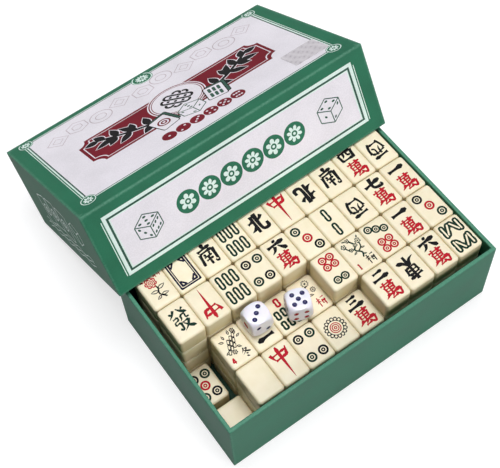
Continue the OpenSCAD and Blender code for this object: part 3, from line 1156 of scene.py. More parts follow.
    def flower(self, name: str) -> list[Mark]:
        """A flower or season tile: a small plant, a plain numeral and a small sign.

        Args:
            name: The tile's name.

        Returns:
            Its marks.
        """
        if name == "second_season":
            return (self.plant("rose") + glyph("n2", (-5.6, 8.6), (2.4, 3.2), Paint.BLACK, 17)
                    + glyph("bloom", (4.6, 8.0), (4.2, 4.4), Paint.RED, 12))
        plant, number, first, sign, second = FLOWERS[name].split()
        return (self.plant(plant) + glyph(number, (-4.9, -7.6), (2.6, 3.8), PAINTS[first], 17)
                + glyph(sign, (3.6, -6.8), (5.6, 6.2), PAINTS[second], 12))

    def face(self, name: str) -> list[Mark]:
        """The marks of one face, worked out once.

        Args:
            name: Such as three_dot, west_wind or blank.

        Returns:
            Its marks, upright.
        """
        if name in self.cache:
            return self.cache[name]
        first, _, suit = name.partition("_")
        marks: list[Mark] = []
        if suit == "dot":
            marks = self.dots(NUMBERS.index(first) + 1)
        elif suit == "bamboo":
            marks = self.bamboo(NUMBERS.index(first) + 1)
        elif suit == "character":
            marks = self.character(first)
        elif suit in ("flower", "season"):
            marks = self.flower(name)
        elif name == "white_dragon":
            marks = self.white_dragon()
        elif name in SIGNS:
            sign, y, size, paint, weight = SIGNS[name]
            marks = glyph(sign, (0, y), size, paint, weight)
        self.cache[name] = marks
        return marks


# Faces that show, by row from the back and from the right: face, layer, and ! where it is upside down
SHOWN = {
    "a": "one_character/4 seven_character/4 west_wind/4! two_bamboo/4 three_dot/4 six_character/4 four_dot/4 "
         "six_bamboo/4 red_dragon/4! green_dragon/4",
    "b": "three_dot/4! one_character/4 seven_dot/4 first_flower/4 six_dot/4 third_flower/3 seven_bamboo/3 "
         "one_character/3! fourth_season/3 five_dot/1",
    "c": "eight_bamboo/4 six_character/4 east_wind/4! two_character/4 three_character/3 one_dot/3 four_dot/3 "
         "red_dragon/3 blank/3 blank/1",
}
# The back row of the top layer, which shows under the lid's edge, from the right
BACK_ROW = ("west_wind/4! four_character/4 south_wind/4 north_wind/4! red_dragon/4 north_wind/4 six_bamboo/4 "
            "south_wind/4 white_dragon/4 second_season/4")
# How far two lone tiles lie off their places in the grid
SHIFTS = {"tile_b10_five_dot": (-4.0, 0.0), "tile_c10_blank": (0.0, -2.9)}
# A loose tile that can't be lifted, because a die lies partly over it
LOCKED = "tile_b6_third_flower"


@dataclass(frozen=True)
class TilePlace:
    """A tile in the grid: its face, row from the front, column from the right, layer, shift and turn."""

    face: str
    row: int
    column: int
    layer: int
    upside_down: bool = False
    shift: tuple[float, float] = (0.0, 0.0)


def places_of(text: str, row: int) -> list[TilePlace]:
    """The tiles of one row.

    Args:
        text: The row's words, as in SHOWN.
        row: Its number from the front.

    Returns:
        The tiles, from the right.
    """
    found = []
    for column, word in enumerate(text.split(), 1):
        face, layer = word.rstrip("!").split("/")
        found.append(TilePlace(face, row, column, int(layer), word[-1] == "!"))
    return found


@dataclass
class TileSet:
    """The tiles of the set, each loose one a piece and each hidden block one piece."""

    width: float = 17.0
    length: float = 24.0
    thickness: float = 13.2
    edge: float = 1.45
    corner: float = 2.0
    groove: float = 0.22
    edge_steps: int = 4
    corner_steps: int = 5
    pitch: tuple[float, float] = (17.1, 24.3)
    grid_corner: tuple[float, float] = (86.55, -49.05)
    floor: float = 3.0
    # The painted side shade that is left on the face, and how late it falls off towards the upper edge
    face_warmth: float = 0.15
    warmth_fall: int = 5
    seed: int = 7
    faces: TileFaces = field(default_factory=TileFaces)
    shapes: dict[tuple[str, bool], Any] = field(default_factory=dict)

    def loose(self) -> dict[str, TilePlace]:
        """The tiles whose faces show, apart from the back row.

        Returns:
            Their places by node.
        """
        places = {}
        for row, (letter, text) in zip((2, 1, 0), SHOWN.items()):
            for place in places_of(text, row):
                node = f"tile_{letter}{place.column}_{place.face}"
                places[node] = TilePlace(place.face, row, place.column, place.layer, place.upside_down,
                                         SHIFTS.get(node, (0.0, 0.0)))
        return places

    def hidden(self) -> dict[str, list[TilePlace]]:
        """The blocks of hidden tiles, dealt from what is left of a full set in a fixed shuffle.

        Returns:
            The tiles of each block by node.
        """
        kinds = [f"{n}_{s}" for s in ("dot", "bamboo", "character") for n in NUMBERS]
        kinds += ["east_wind", "south_wind", "west_wind", "north_wind", "red_dragon", "green_dragon",
                  "white_dragon"]
        pool = kinds * 4 + [f"{n}_{kind}" for kind in ("flower", "season")
                            for n in ("first", "second", "third", "fourth")]
        for place in [*self.loose().values(), *places_of(BACK_ROW, 3)]:
            if place.face in pool:
                pool.remove(place.face)
        dealt = iter(np.random.default_rng(self.seed).permutation(pool))
        # Rows, the number of columns from the right, and the layer
        blocks = {
            "layer_1_back_tiles": ((2, 3), 10, 1), "layer_1_front_tiles": ((0, 1), 9, 1),
            "layer_2_back_tiles": ((2, 3), 10, 2), "layer_2_front_tiles": ((0, 1), 9, 2),
            "layer_3_back_tiles": ((2, 3), 10, 3), "layer_3_row_b_tiles": ((1,), 5, 3),
            "layer_3_row_c_tiles": ((0,), 4, 3),
        }
        return {node: [TilePlace(str(next(dealt)), row, column + 1, layer) for row in rows
                       for column in range(columns)] for node, (rows, columns, layer) in blocks.items()}

    def shape(self, face: str, upside_down: bool) -> tuple[np.ndarray, Any]:
        """Rings and engraved top of a tile with one face, worked out once.

        The edges are quarter circles: round the underside, up the sides, and over to the flat top, which is
        cut along its artwork.

        Args:
            face: The face's name.
            upside_down: Whether it is read from the back.

        Returns:
            The rings and the inlay of the top.
        """
        key = (face, upside_down)
        if key not in self.shapes:
            r, t = self.edge, self.thickness
            low = quarter_profile((r, 0), (0, r), (0, 0), self.edge_steps)
            high = quarter_profile((0, t - r), (r, t), (0, t), self.edge_steps)
            rings = ring_stack((self.width / 2, self.length / 2), self.corner, np.vstack([low, high]),
                               self.corner_steps)
            marks = self.faces.face(face)
            top = inlay(rings[-1, :, :2], turned(marks, 180) if upside_down else marks, self.groove)
            self.shapes[key] = (rings, top)
        return self.shapes[key]

    def add_tile(self, surface: Surface, place: TilePlace, tone: float) -> None:
        """Adds one tile to a surface.

        Args:
            surface: Where it goes.
            place: Its face and place.
            tone: Its shade, from 0 to 1.
        """
        rings, (points, triangles, finish, walls, wall_finish) = self.shape(place.face, place.upside_down)
        at = np.array([
            self.grid_corner[0] - place.column * self.pitch[0] + self.pitch[0] / 2 + place.shift[0],
            self.grid_corner[1] + place.row * self.pitch[1] + self.pitch[1] / 2 + place.shift[1],
            self.floor + (place.layer - 1) * self.thickness,
        ])
        # Painted shade of the tile: full down the sides, fading near the upper edge to what is left on the
        # face
        high = rings[..., 2] / self.thickness
        side = np.clip(1 + self.face_warmth - high ** self.warmth_fall, 0, 1)
        count, around = rings.shape[:2]
        first = surface.add_points(rings.reshape(-1, 3) + at, side=side.ravel(), tone=tone)
        surface.add_faces(ring_faces(count, around).reshape(-1, 4) + first)
        surface.add_faces(np.arange(around)[None, ::-1] + first, smooth=False)
        first = surface.add_points(points + at + [0, 0, self.thickness], tone=tone,
                                   side=self.face_warmth)
        surface.add_faces(triangles + first, finish, smooth=False)
        surface.add_faces(walls + first, wall_finish, smooth=False)

    def build(self) -> list[bpy.types.Object]:
        """Makes the loose tiles and the blocks, and sets each on its body.

        Returns:
            The pieces.
        """
        tones = np.random.default_rng(self.seed + 1)
        jobs = {node: [place] for node, place in self.loose().items()}
        jobs["top_back_row_tiles"] = places_of(BACK_ROW, 3)
        jobs.update(self.hidden())
        made = []
        for node, places in jobs.items():
            surface = Surface()
            for place in places:
                self.add_tile(surface, place, float(tones.uniform()))
            fixed = len(places) > 1 or node == LOCKED
            made.append(settle(surface.piece("engraved_" + node, TILE_FINISHES), node,
                               "case_base" if fixed else "loose_" + node))
        return made


# Dice


DIE_FINISHES = (
    DIE_RESIN, enamel("black_pip_enamel", "#15171B"), enamel("green_pip_enamel", "#15382A"),
    enamel("red_pip_enamel", "#9C1727", 0.25, 0.5), enamel("navy_pip_enamel", "#1B1A55", 0.25, 0.5),
)


@dataclass
class Die:
    """A small die with very round corners and hollowed, painted pips."""

    node: str
    place: tuple[float, float]
    turn: float
    # Numbers on the +X, -X, +Y, -Y, +Z and -Z faces, their paints, and the faces whose pips run the other way
    numbers: tuple[int, ...]
    paints: str
    flipped: tuple[int, ...] = ()
    edge: float = 14.0
    ball: float = 9.7
    roundness: float = 20.0
    pip_radius: float = 1.42
    pip_depth: float = 0.5
    big_pip_radius: float = 2.4
    spread: float = 2.95
    grid: int = 17
    pip_steps: int = 16
    bottom: float = 42.6

    def rounded(self, cube: np.ndarray) -> np.ndarray:
        """Moves points of the cube's faces onto the rounded die.

        In each direction the distance from the centre is a soft smaller one of the distance to the cube and
        of the ball's radius: the sum of their inverses to a high power, to the inverse of that power.

        Args:
            cube: Points on the faces of the cube, one row each.

        Returns:
            The points on the die.
        """
        reach = np.linalg.norm(cube, axis=1, keepdims=True)
        soft = (reach ** -self.roundness + self.ball ** -self.roundness) ** (-1 / self.roundness)
        return cube / reach * soft

    def add_face(self, surface: Surface, side: int, across: np.ndarray, up: np.ndarray) -> None:
        """Adds one face: a grid of points with its pips cut in, sunk as shallow bowls.

        Args:
            surface: Where it goes.
            side: Number of the face.
            across: Its first direction.
            up: Its second direction.
        """
        number = self.numbers[side]
        spots = pips(number, self.spread) * [-1 if side in self.flipped else 1, 1]
        radius = self.big_pip_radius if number == 1 else self.pip_radius
        line = np.linspace(-self.edge / 2, self.edge / 2, self.grid)
        grid = np.stack([g.ravel() for g in np.meshgrid(line, line)], 1)
        clear = (np.linalg.norm(grid[:, None] - spots, axis=2) > radius * 1.15).all(1)
        steps = self.pip_steps
        loops = [circle(spot, radius * share, steps) for spot in spots for share in (1.0, 0.75, 0.4)]
        starts = int(clear.sum()) + steps * np.arange(len(loops))
        edges = [(int(s + k), int(s + (k + 1) % steps)) for s in starts for k in range(steps)]
        xy, found, _ = cut(np.vstack([grid[clear], *loops, spots]), edges, [], 0)
        near = np.linalg.norm(xy[:, None] - spots, axis=2).min(1) / radius
        dip = self.pip_depth * (radius / self.pip_radius) ** 0.5 * np.clip(1 - near ** 2, 0, 1)
        normal = np.cross(across, up)
        points = self.rounded(xy[:, :1] * across + xy[:, 1:] * up + self.edge / 2 * normal)
        triangles = np.array(found)
        painted = np.linalg.norm(xy[triangles].mean(1)[:, None] - spots, axis=2).min(1) < radius * 0.99
        first = surface.add_points(points - dip[:, None] * normal)
        surface.add_faces(triangles + first, np.where(painted, PAINTS[self.paints[side]], Paint.BARE))

    def build(self) -> bpy.types.Object:
        """Makes the die and sets it on its body.

        Returns:
            The piece.
        """
        axes = [((0, 1, 0), (0, 0, 1)), ((0, -1, 0), (0, 0, 1)), ((-1, 0, 0), (0, 0, 1)),
                ((1, 0, 0), (0, 0, 1)), ((1, 0, 0), (0, 1, 0)), ((1, 0, 0), (0, -1, 0))]
        surface = Surface()
        for side, (across, up) in enumerate(axes):
            self.add_face(surface, side, np.array(across, float), np.array(up, float))
        c, s = math.cos(math.radians(self.turn)), math.sin(math.radians(self.turn))
        place = np.array([[c, -s, 0, self.place[0]], [s, c, 0, self.place[1]],
                          [0, 0, 1, self.bottom + self.edge / 2], [0, 0, 0, 1]])
        piece = surface.piece("rounded_" + self.node, DIE_FINISHES, place)
        return settle(piece, self.node, "loose_" + self.node)


# Case


class Print(IntEnum):
    """Finish numbers on the lid's printed paper."""

    GROUND = 0
    PANEL = 1
    PALE = 2
    LINE = 3
    MAROON = 4
    BLACK = 5
    FAINT = 6


class Side(Enum):
    """A wall of the box, numbered in the order in which an outline runs along them."""

    BACK = 0
    LEFT = 1
    FRONT = 2
    RIGHT = 3


LID_FINISHES = (
    GrainedPaper("green_leather_grain_paper", "#1F7253", specular=0.34),
    GrainedPaper("pale_printed_panel", "#EFEBF3", "#F2F2F2", 0.5, 0.03, 0.03),
    GrainedPaper("mint_white_print", "#E2F4EE", "#F2F2F2", 0.5, 0.03, 0.03),
    GrainedPaper("deep_green_print", "#1A5342", roughness=0.5, relief=0.03),
    GrainedPaper("maroon_print", "#7D1225", "#B07A80", 0.6, relief=0.03, specular=0.2),
    GrainedPaper("black_print", "#121013", "#6A6A6C", 0.6, relief=0.03, specular=0.2),
    GrainedPaper("faint_rose_grey_print", "#C9B9C3", "#F2F2F2", 0.5, relief=0.03),
)
# The lid's green paper again, drawn lighter and greyer for the base: painted sheen
BASE_FINISH = GrainedPaper("base_green_paper_painted_sheen", "#2F7A5E", "#6FA893")


def panes(rows: Sequence[tuple[float, float, float, int]]) -> list[Mark]:
    """Rectangles laid one over another: half the width, lower and upper edge, and finish."""
    return [Mark(oblong(-x, y0, x, y1), finish) for x, y0, y1, finish in rows]


@dataclass
class LidArtwork:
    """Print of the lid: frames, medallions, a plaque and rows of discs, in plain ornaments."""

    depth: float = 116.4
    frame_x: float = 84.1
    frame_front: float = 11.0
    frame_back: float = 111.2
    plaque_y: float = 57.5
    plaque_half: tuple[float, float] = (64.0, 17.0)
    plaque_scoop: float = 6.0
    # Height of each row, how far it reaches to either side, and the radius of its parts
    gem_row: tuple[float, float, float] = (92.0, 68.0, 7.6)
    disc_row: tuple[float, float, float] = (25.5, 23.5, 4.55)
    wall_disc_row: tuple[float, float, float] = (28.3, 36.7, 7.1)
    # Half the width, and the lower and upper edge
    wall_frame: tuple[float, float, float] = (84.2, 8.2, 48.4)

    def medallion(self, x: float, y: float, radius: float, count: int = 8) -> list[Mark]:
        """A green disc with a pale ring and a plain rosette.

        Args:
            x: Centre across.
            y: Centre along.
            radius: Radius of the disc.
            count: Petals of the rosette.

        Returns:
            The marks.
        """
        inner, rose = 0.93 * radius - 0.6, 0.62 * radius
        rim = ((radius, Print.GROUND), (radius - 0.35, Print.PALE), (inner, Print.GROUND))
        marks = discs((x, y), rim, 32)
        marks.append(Mark(petals((x, y), count, rose * 0.5, rose), Print.PALE))
        marks += discs((x, y), ((rose * 0.34, Print.GROUND),), 14)
        return marks + discs((x, y), ((rose * 0.16, Print.PALE),), 10)

    def knot(self, x: float, y: float, size: float) -> list[Mark]:
        """A lattice knot: a turned square of three bands each way, joined by bends at its sides.

        Each band is drawn in the panel's colour, then narrower in black, so that crossings read as woven.

        Args:
            x: Centre across.
            y: Centre along.
            size: Side of the square.

        Returns:
            The marks.
        """
        step, flip = size * 0.36, np.array([[0, 1], [1, 0]])
        bands = [np.array([[-size / 2, k * step], [size / 2, k * step]]) for k in (-1, 0, 1)]
        turn = np.linspace(-math.pi / 2, math.pi / 2, 11)
        bow = np.stack([np.cos(turn), np.sin(turn)], 1) * step / 2
        bends = [np.array([s * size / 2, side * step / 2]) + bow * [s, 1]
                 for s in (-1, 1) for side in (-1, 1)]
        marks = []
        for line in bands + [b @ flip for b in bands] + bends + [b @ flip for b in bends]:
            marks += [Mark(ribbon(line, size * share), paint)
                      for share, paint in ((0.2, Print.PANEL), (0.13, Print.BLACK))]
        return moved(turned(marks, 45), x, y)

    def plaque(self, x: float, y: float) -> list[Mark]:
        """A long maroon plaque with scooped corners, a thin inner line, a round window and two sprigs.

        Args:
            x: Centre across.
            y: Centre along.

        Returns:
            The marks.
        """
        half = np.array(self.plaque_half)
        turn = np.linspace(0, math.pi / 2, 9)
        bite = self.plaque_scoop * np.stack([np.cos(turn), np.sin(turn)], 1)
        corners = [((1, 1), -1), ((-1, 1), 1), ((-1, -1), -1), ((1, -1), 1)]
        marks = []
        for inset, paint in ((0.0, Print.MAROON), (2.0, Print.PANEL), (2.6, Print.MAROON)):
            rim = [(half - inset - bite[::way]) * signs for signs, way in corners]
            marks.append(Mark(np.vstack(rim), paint))
        marks += discs((0, 2.5), ((18.6, Print.PANEL), (17.8, Print.MAROON), (17.0, Print.PANEL),
                                  (16.2, Print.MAROON), (15.7, Print.PANEL)), 56)
        marks += self.knot(0, 2.5, 13.5) + self.sprig(-37, -1) + self.sprig(37, 1)
        return moved(marks, x, y)

    def sprig(self, x: float, side: int) -> list[Mark]:
        """A bamboo sprig: a jointed cane with pointed leaves, black with a pale halo.

        Args:
            x: Its middle across.
            side: 1 where it leans to the right, -1 to the left.

        Returns:
            The marks.
        """
        cane = curve_through(np.array([[-15, -8], [-1, -2], [16, 8]], float), 7)
        leaves = [(-11, -6, 96, 9), (-5, -4, 58, 12), (-2, -2.4, -30, 10), (4, 0.8, 86, 9), (6, 2, -12, 12),
                  (10, 4.4, 60, 8), (13, 6.4, 4, 8), (-12, -7, -34, 8), (-3, -3, 104, 8), (5, 1.2, -40, 8)]
        marks = []
        for halo, paint in ((0.55, Print.PANEL), (0.0, Print.BLACK)):
            marks.append(Mark(ribbon(cane, 1.7 + 2 * halo), paint))
            for leaf_x, leaf_y, angle, length in leaves:
                leaf = leaf_outline(-halo, length + 2 * halo, 2.2 + halo)
                marks += moved(turned([Mark(leaf, paint)], angle), leaf_x, leaf_y)
        return [Mark(m.outline * [1.15 * side, 1.25] + [x, 0], m.finish) for m in marks]

    def little_tile(self, x: float, y: float, lean: float, art: str) -> list[Mark]:
        """A line drawing of a standing tile with its thickness, and a dot or sticks on its face.

        Args:
            x: Centre across.
            y: Centre along.
            lean: Turn from upright, in degrees.
            art: dot or sticks.

        Returns:
            The marks.
        """
        marks = soft_oblongs((1.5, 1.1), ((9.6, 12.4, 1.0, Print.BLACK), (8.8, 11.6, 0.8, Print.LINE)))
        marks += soft_oblongs((0, 0), ((9.6, 12.4, 1.0, Print.BLACK), (8.7, 11.5, 0.8, Print.PANEL)))
        if art == "dot":
            marks += discs((0, 0), ((3.1, Print.MAROON), (2.3, Print.PANEL), (1.5, Print.MAROON),
                                    (0.7, Print.PANEL)), 20)
        else:
            for spot in ((dx, dy) for dx in (-2.2, 0, 2.2) for dy in (-2.4, 2.4)):
                marks += soft_oblongs(spot, ((1.4, 4.0, 0.6, Print.LINE),))
        return moved(turned(marks, lean), x, y, 1.35)

    def top(self) -> list[Mark]:
        """Print of the top: frame, medallions, plaque, discs and a faint band.

        Returns:
            The marks, with x from the middle and y from the middle of the depth.
        """
        x, y0, y1 = self.frame_x, self.frame_front, self.frame_back
        marks = panes(((x + 1.2, y0, y1, Print.PALE), (x + 0.75, y0, y1, Print.GROUND),
                       (x, y0, y1, Print.PALE), (x - 0.9, y0 + 0.8, y1 - 0.8, Print.LINE),
                       (x - 1.75, y0 + 1.5, y1 - 1.5, Print.PANEL)))
        y, reach, size = self.gem_row
        for k, gem_x in enumerate(np.linspace(-reach, reach, 10)):
            shape = circle((gem_x, y + 4 * (k % 2)), size, (4, 6, 24)[k % 3], math.pi / 2)
            marks += hollow(shape, 0.6, Print.FAINT, Print.PANEL)
            small = 0.5 * (shape - shape.mean(0)) + shape.mean(0)
            marks += hollow(small, 0.5, Print.FAINT, Print.PANEL)
        marks += self.plaque(0, self.plaque_y)
        marks += self.little_tile(-18, 43, 13, "dot") + self.little_tile(18, 43, -13, "sticks")
        marks += self.drawn_die(0, 40.5, (3, 2, 1))
        y, reach, size = self.disc_row
        for k, disc_x in enumerate(np.linspace(-reach, reach, 6)):
            marks += discs((disc_x, y), ((size, Print.MAROON),), 24)
            for spot in pips(k + 1, 1.75):
                marks += discs(spot + [disc_x, y], ((0.75, Print.PANEL),), 10)
        for corner in ((-83.2, 12.0), (-83.2, 110.2), (83.2, 12.0), (83.2, 110.2)):
            marks += self.medallion(*corner, 4.9)
        marks += self.medallion(0, 108.4, 7.2, 12)
        return [Mark(m.outline - [0, self.depth / 2], m.finish) for m in marks]

    def drawn_die(self, x: float, y: float, numbers: tuple[int, int, int]) -> list[Mark]:
        """A line drawing of a die from above: three leaning faces with pips.

        Each face is spanned by two of three edge directions, and a pip is a small circle in its plane.

        Args:
            x: Centre along the wall.
            y: Centre up the wall.
            numbers: Pips on the top, left and right faces.

        Returns:
            The marks.
        """
        right, left, up = np.array([7.1, 5.2]), np.array([-8.6, 3.9]), np.array([-0.5, 7.8])
        origin = np.array([x, y]) - (right + left + up) / 2
        faces = ((right, left, origin + up), (left, up, origin), (right, up, origin))
        marks = []
        for (a, b, start), number in zip(faces, numbers):
            closed = start + np.array([0 * a, a, a + b, b, 0 * a])
            marks.append(Mark(closed[:4], Print.PANEL))
            marks += [Mark(ribbon(closed[i:i + 2], 0.62), Print.LINE) for i in range(4)]
            for spot in pips(number, 0.27):
                shares = circle(spot + 0.5, 0.1, 10)
                marks.append(Mark(start + shares[:, :1] * a + shares[:, 1:] * b, Print.LINE))
        return marks

    def long_wall(self) -> list[Mark]:
        """Print of a long wall: frame, six discs with rosettes and two drawn dice.

        Returns:
            The marks, with x along the wall and y up from the mouth.
        """
        x, y0, y1 = self.wall_frame
        marks = panes(((x + 1.3, y0 + 0.6, y1 - 2.6, Print.PALE), (x + 0.8, y0 + 0.6, y1 - 2.6, Print.GROUND),
                       (x, y0, y1, Print.PALE), (x - 2.1, y0 + 2.1, y1 - 2.1, Print.LINE),
                       (x - 3.4, y0 + 3.3, y1 - 3.3, Print.PALE), (x - 4.2, y0 + 4.0, y1 - 4.0, Print.PANEL)))
        y, reach, size = self.wall_disc_row
        for k, disc_x in enumerate(np.linspace(-reach, reach, 6)):
            at = (disc_x, y)
            marks += discs(at, ((size, Print.GROUND),), 36)
            marks.append(Mark(petals(at, 6 + 2 * (k % 2), 2.4, 5.1), Print.PALE))
            marks += discs(at, ((1.9, Print.GROUND),), 16) + discs(at, ((0.9, Print.PALE),), 12)
        return marks + self.drawn_die(-62.3, 28.5, (5, 3, 6)) + self.drawn_die(62.3, 28.5, (4, 1, 2))

    def end_wall(self) -> list[Mark]:
        """Print of an end wall: thin pale outlines of tiles, a die and waves.

        Returns:
            The marks, with x along the wall and y up from the mouth.
        """
        pale, ground = Print.PALE, Print.GROUND
        card = soft_oblongs((0, 0), ((15, 21, 2, pale), (13.3, 19.3, 1.4, ground)))
        card += discs((0, 0), ((4.4, pale), (3.3, ground), (2.1, pale), (1.0, ground)), 20)
        marks = [m for x, y, lean in ((-21, 27, 14), (-7, 29, 4), (8, 28, -6))
                 for m in moved(turned(card, lean), x, y)]
        line = np.linspace(-1, 1, 41)
        for k in range(3):
            wave = np.stack([36 * line, 9.5 + 2.6 * k + 1.1 * np.sin(line * 14 + k)], 1)
            marks.append(Mark(ribbon(wave, 0.75), pale))
        centre = np.array([27.0, 30.0])
        gem = circle(centre, 8.5, 6, math.pi / 6)
        return marks + hollow(gem, 0.85, pale) + [Mark(ribbon(np.array([centre, gem[k]]), 0.8), pale)
                                                  for k in (0, 2, 4)]


@dataclass
class WrappedBox:
    """Cover paper of a box, made as one closed sheet: turned in at the rim and folded over the edges."""

    half: tuple[float, float]
    height: float
    corner: float = 0.55
    paper: float = 0.25
    wall: float = 2.3
    turn_in: float = 14.0
    fold_steps: int = 3
    corner_steps: int = 3
    margin: float = 2.2

    def strip_and_rim(self) -> tuple[np.ndarray, np.ndarray]:
        """Profile from the cut edge of the turned-in strip, over the rim, to the foot of the outer wall.

        The mouth is at height 0. The rim is flat between two quarter circles.

        Returns:
            Rows of inset and height, and how much of an edge each is.
        """
        r, w = self.corner, self.wall
        rows = [np.array([[w - self.paper, self.turn_in], [w, self.turn_in], [w, self.margin]]),
                quarter_profile((w, r), (w - r, 0), (w, 0), self.fold_steps),
                quarter_profile((r, 0), (0, r), (0, 0), self.fold_steps),
                np.array([[0, self.margin]])]
        # How much each row pales the paper: rubbed wear, and a painted highlight along the folds
        edge = [0.35, 0.3, 0.0] + [0.9] * (2 * self.fold_steps + 2) + [0.0]
        return np.vstack(rows), np.array(edge)

    def back_of_strip(self) -> np.ndarray:
        """Profile of the glued side, from the outer wall round the rim to the strip's cut edge."""
        return np.array([[self.paper, self.paper], [self.wall - self.paper, self.paper],
                         [self.wall - self.paper, self.turn_in]])

    def add_rings(self, surface: Surface, profile: np.ndarray, edge: np.ndarray,
                  open_row: int | None = None, flip: bool = False) -> np.ndarray:
        """Adds a stack of rings.

        Args:
            surface: Where they go.
            profile: Rows of inset and height above the mouth.
            edge: How much of an edge each row is, which pales the paper there: wear, and a painted highlight.
            open_row: The row whose four walls are left open for print.
            flip: Whether the box stands with its mouth up, so heights run down from it.

        Returns:
            The points by ring, place in the ring, and axis.
        """
        rings = ring_stack(self.half, self.corner, profile, self.corner_steps, self.margin)
        count, around = rings.shape[:2]
        if flip:
            rings[..., 2] = self.height - rings[..., 2]
        per_corner = around // 4
        # The upright corners pale the paper too: wear, and a painted highlight
        corner_wear_and_highlight = np.zeros(per_corner)
        corner_wear_and_highlight[1:-1] = 0.85
        values = np.maximum(edge[:, None], np.tile(corner_wear_and_highlight, 4)[None, :])
        first = surface.add_points(rings.reshape(-1, 3), edge=values.ravel())
        faces = ring_faces(count, around)
        keep = np.ones(faces.shape[:2], bool)
        if open_row is not None:
            keep[open_row, per_corner - 1::per_corner] = False
        kept = faces[keep] + first
        surface.add_faces(kept[:, ::-1] if flip else kept)
        return rings

    def add_print(self, surface: Surface, side: Side, marks: Sequence[Mark]) -> None:
        """Fills the open stretch of one wall with its print.

        Args:
            surface: Where it goes.
            side: Which wall.
            marks: The print, with x to the right along the wall as seen from outside, and y up.
        """
        along = {Side.FRONT: (1, 0), Side.BACK: (-1, 0), Side.LEFT: (0, -1), Side.RIGHT: (0, 1)}[side]
        reach, off = self.half if along[0] else self.half[::-1]
        outward = np.array([along[1], -along[0]], float) * off
        edge = reach - self.corner - self.margin
        region = oblong(-edge, self.margin, edge, self.height - self.margin)
        points, triangles, finish, _, _ = inlay(region, marks)
        flat = points[:, :1] * np.array(along, float) + outward
        first = surface.add_points(np.column_stack([flat, points[:, 1]]))
        surface.add_faces(triangles + first, finish, smooth=False)


@dataclass
class CaseBase:
    """The base of the case: its cover paper."""

    half: tuple[float, float] = (91.0, 55.5)
    height: float = 53.0

    def build(self) -> bpy.types.Object:
        """Makes the wrap: up the outside, over the rim, down the inside, and back along the boards.

        Returns:
            The piece.
        """
        box = WrappedBox(self.half, self.height)
        surface = Surface()
        rim, edge = box.strip_and_rim()
        foot = np.array([[0, self.height - box.margin], [0, self.height - 0.3], [0.08, self.height - 0.08],
                         [box.paper, self.height]])
        profile = np.vstack([rim, foot, box.back_of_strip()])
        # The foot's fold pales the paper: wear, and a painted highlight
        box.add_rings(surface, profile, np.concatenate([edge, [0.0, 0.8, 0.9, 0.5, 0, 0, 0]]), flip=True)
        piece = surface.piece("folded_base_wrap", (BASE_FINISH,))
        return settle(piece, "base_wrap", "case_base")


@dataclass
class CaseLid:
    """The lid, leaning over the back of the base with its front edge on the tiles."""

    half: tuple[float, float] = (94.4, 58.2)
    height: float = 55.0
    tiles_top: float = 55.8
    rest_gap: float = 0.05
    yaw: float = 1.0
    shift_x: float = -0.9
    front_y: float = 44.2
    sticker_size: tuple[float, float] = (23.6, 18.7)
    sticker_edges: tuple[float, float] = (10.8, 17.0)
    sticker_corner: float = 1.2
    sticker_thickness: float = 0.1

    def place(self) -> np.ndarray:
        """Matrix that sets the lid, drawn mouth down about the middle of its mouth, where it leans.

        It moves the front edge to the origin, tilts the lid about it so that the back edge meets the table,
        turns it a little about the vertical, and moves it to its place.

        Returns:
            A 4 by 4 matrix in millimetres.
        """
        depth = 2 * self.half[1]
        tilt = math.asin((self.tiles_top + self.rest_gap) / (depth - WrappedBox.wall))
        lean = Matrix.Rotation(-tilt, 4, "X")
        yaw = Matrix.Rotation(math.radians(self.yaw), 4, "Z")
        to = Matrix.Translation((self.shift_x, self.front_y, depth * math.sin(tilt)))
        return np.array(to @ yaw @ lean @ Matrix.Translation((0, self.half[1], 0)))

    def wrap(self) -> bpy.types.Object:
        """Makes the printed wrap as one closed sheet over the top and the four walls.

        Returns:
            The piece.
        """
        box, art = WrappedBox(self.half, self.height), LidArtwork()
        surface = Surface()
        rim, edge = box.strip_and_rim()
        r, m, h = box.corner, box.margin, self.height
        fold = quarter_profile((0, h - r), (r, h), (0, h), box.fold_steps)
        profile = np.vstack([rim, [[0, h - m]], fold, [[r + m, h]]])
        # The top's folded edges pale the paper fully: wear, and a painted highlight
        edges = np.concatenate([edge, [0.0], np.full(len(fold), 1.0), [0.0]])
        rings = box.add_rings(surface, profile, edges, open_row=len(rim) - 1)
        for side in Side:
            long = side in (Side.FRONT, Side.BACK)
            box.add_print(surface, side, art.long_wall() if long else art.end_wall())
        points, triangles, finish, _, _ = inlay(rings[-1, :, :2], art.top())
        first = surface.add_points(points + [0, 0, h])
        surface.add_faces(triangles + first, finish, smooth=False)
        glued = np.vstack([[[box.paper, h - box.paper]], box.back_of_strip()])
        inner = box.add_rings(surface, glued, np.zeros(len(glued)))
        around = inner.shape[1]
        surface.add_faces(np.arange(around)[None, ::-1] + surface.count - inner.shape[0] * around)
        piece = surface.piece("printed_lid_wrap", LID_FINISHES, self.place())
        return settle(piece, "lid_wrap", "case_lid")

    def sticker(self) -> bpy.types.Object:
        """Makes the seal: a thin sheet with round corners and a bevelled cut edge.

        Returns:
            The piece.
        """
        (w, d), t = self.sticker_size, self.sticker_thickness
        profile = np.array([[0, 0], [0, t * 0.6], [0.08, t], [0.6, t]])
        rings = ring_stack((w / 2, d / 2), self.sticker_corner, profile, 6)
        count, around = rings.shape[:2]
        middle = np.array([self.half[0] - self.sticker_edges[0] - w / 2,
                           -self.half[1] + self.sticker_edges[1] + d / 2, self.height])
        surface = Surface()
        first = surface.add_points(rings.reshape(-1, 3) + middle)
        surface.add_faces(ring_faces(count, around).reshape(-1, 4) + first)
        surface.add_faces(np.arange(around)[None, ::-1] + first)
        surface.add_faces(np.arange(around)[None] + first + (count - 1) * around)
        piece = surface.piece("rounded_seal_sticker", (SealFilm(),), self.place())
        return settle(piece, "lid_seal_sticker", "case_lid")


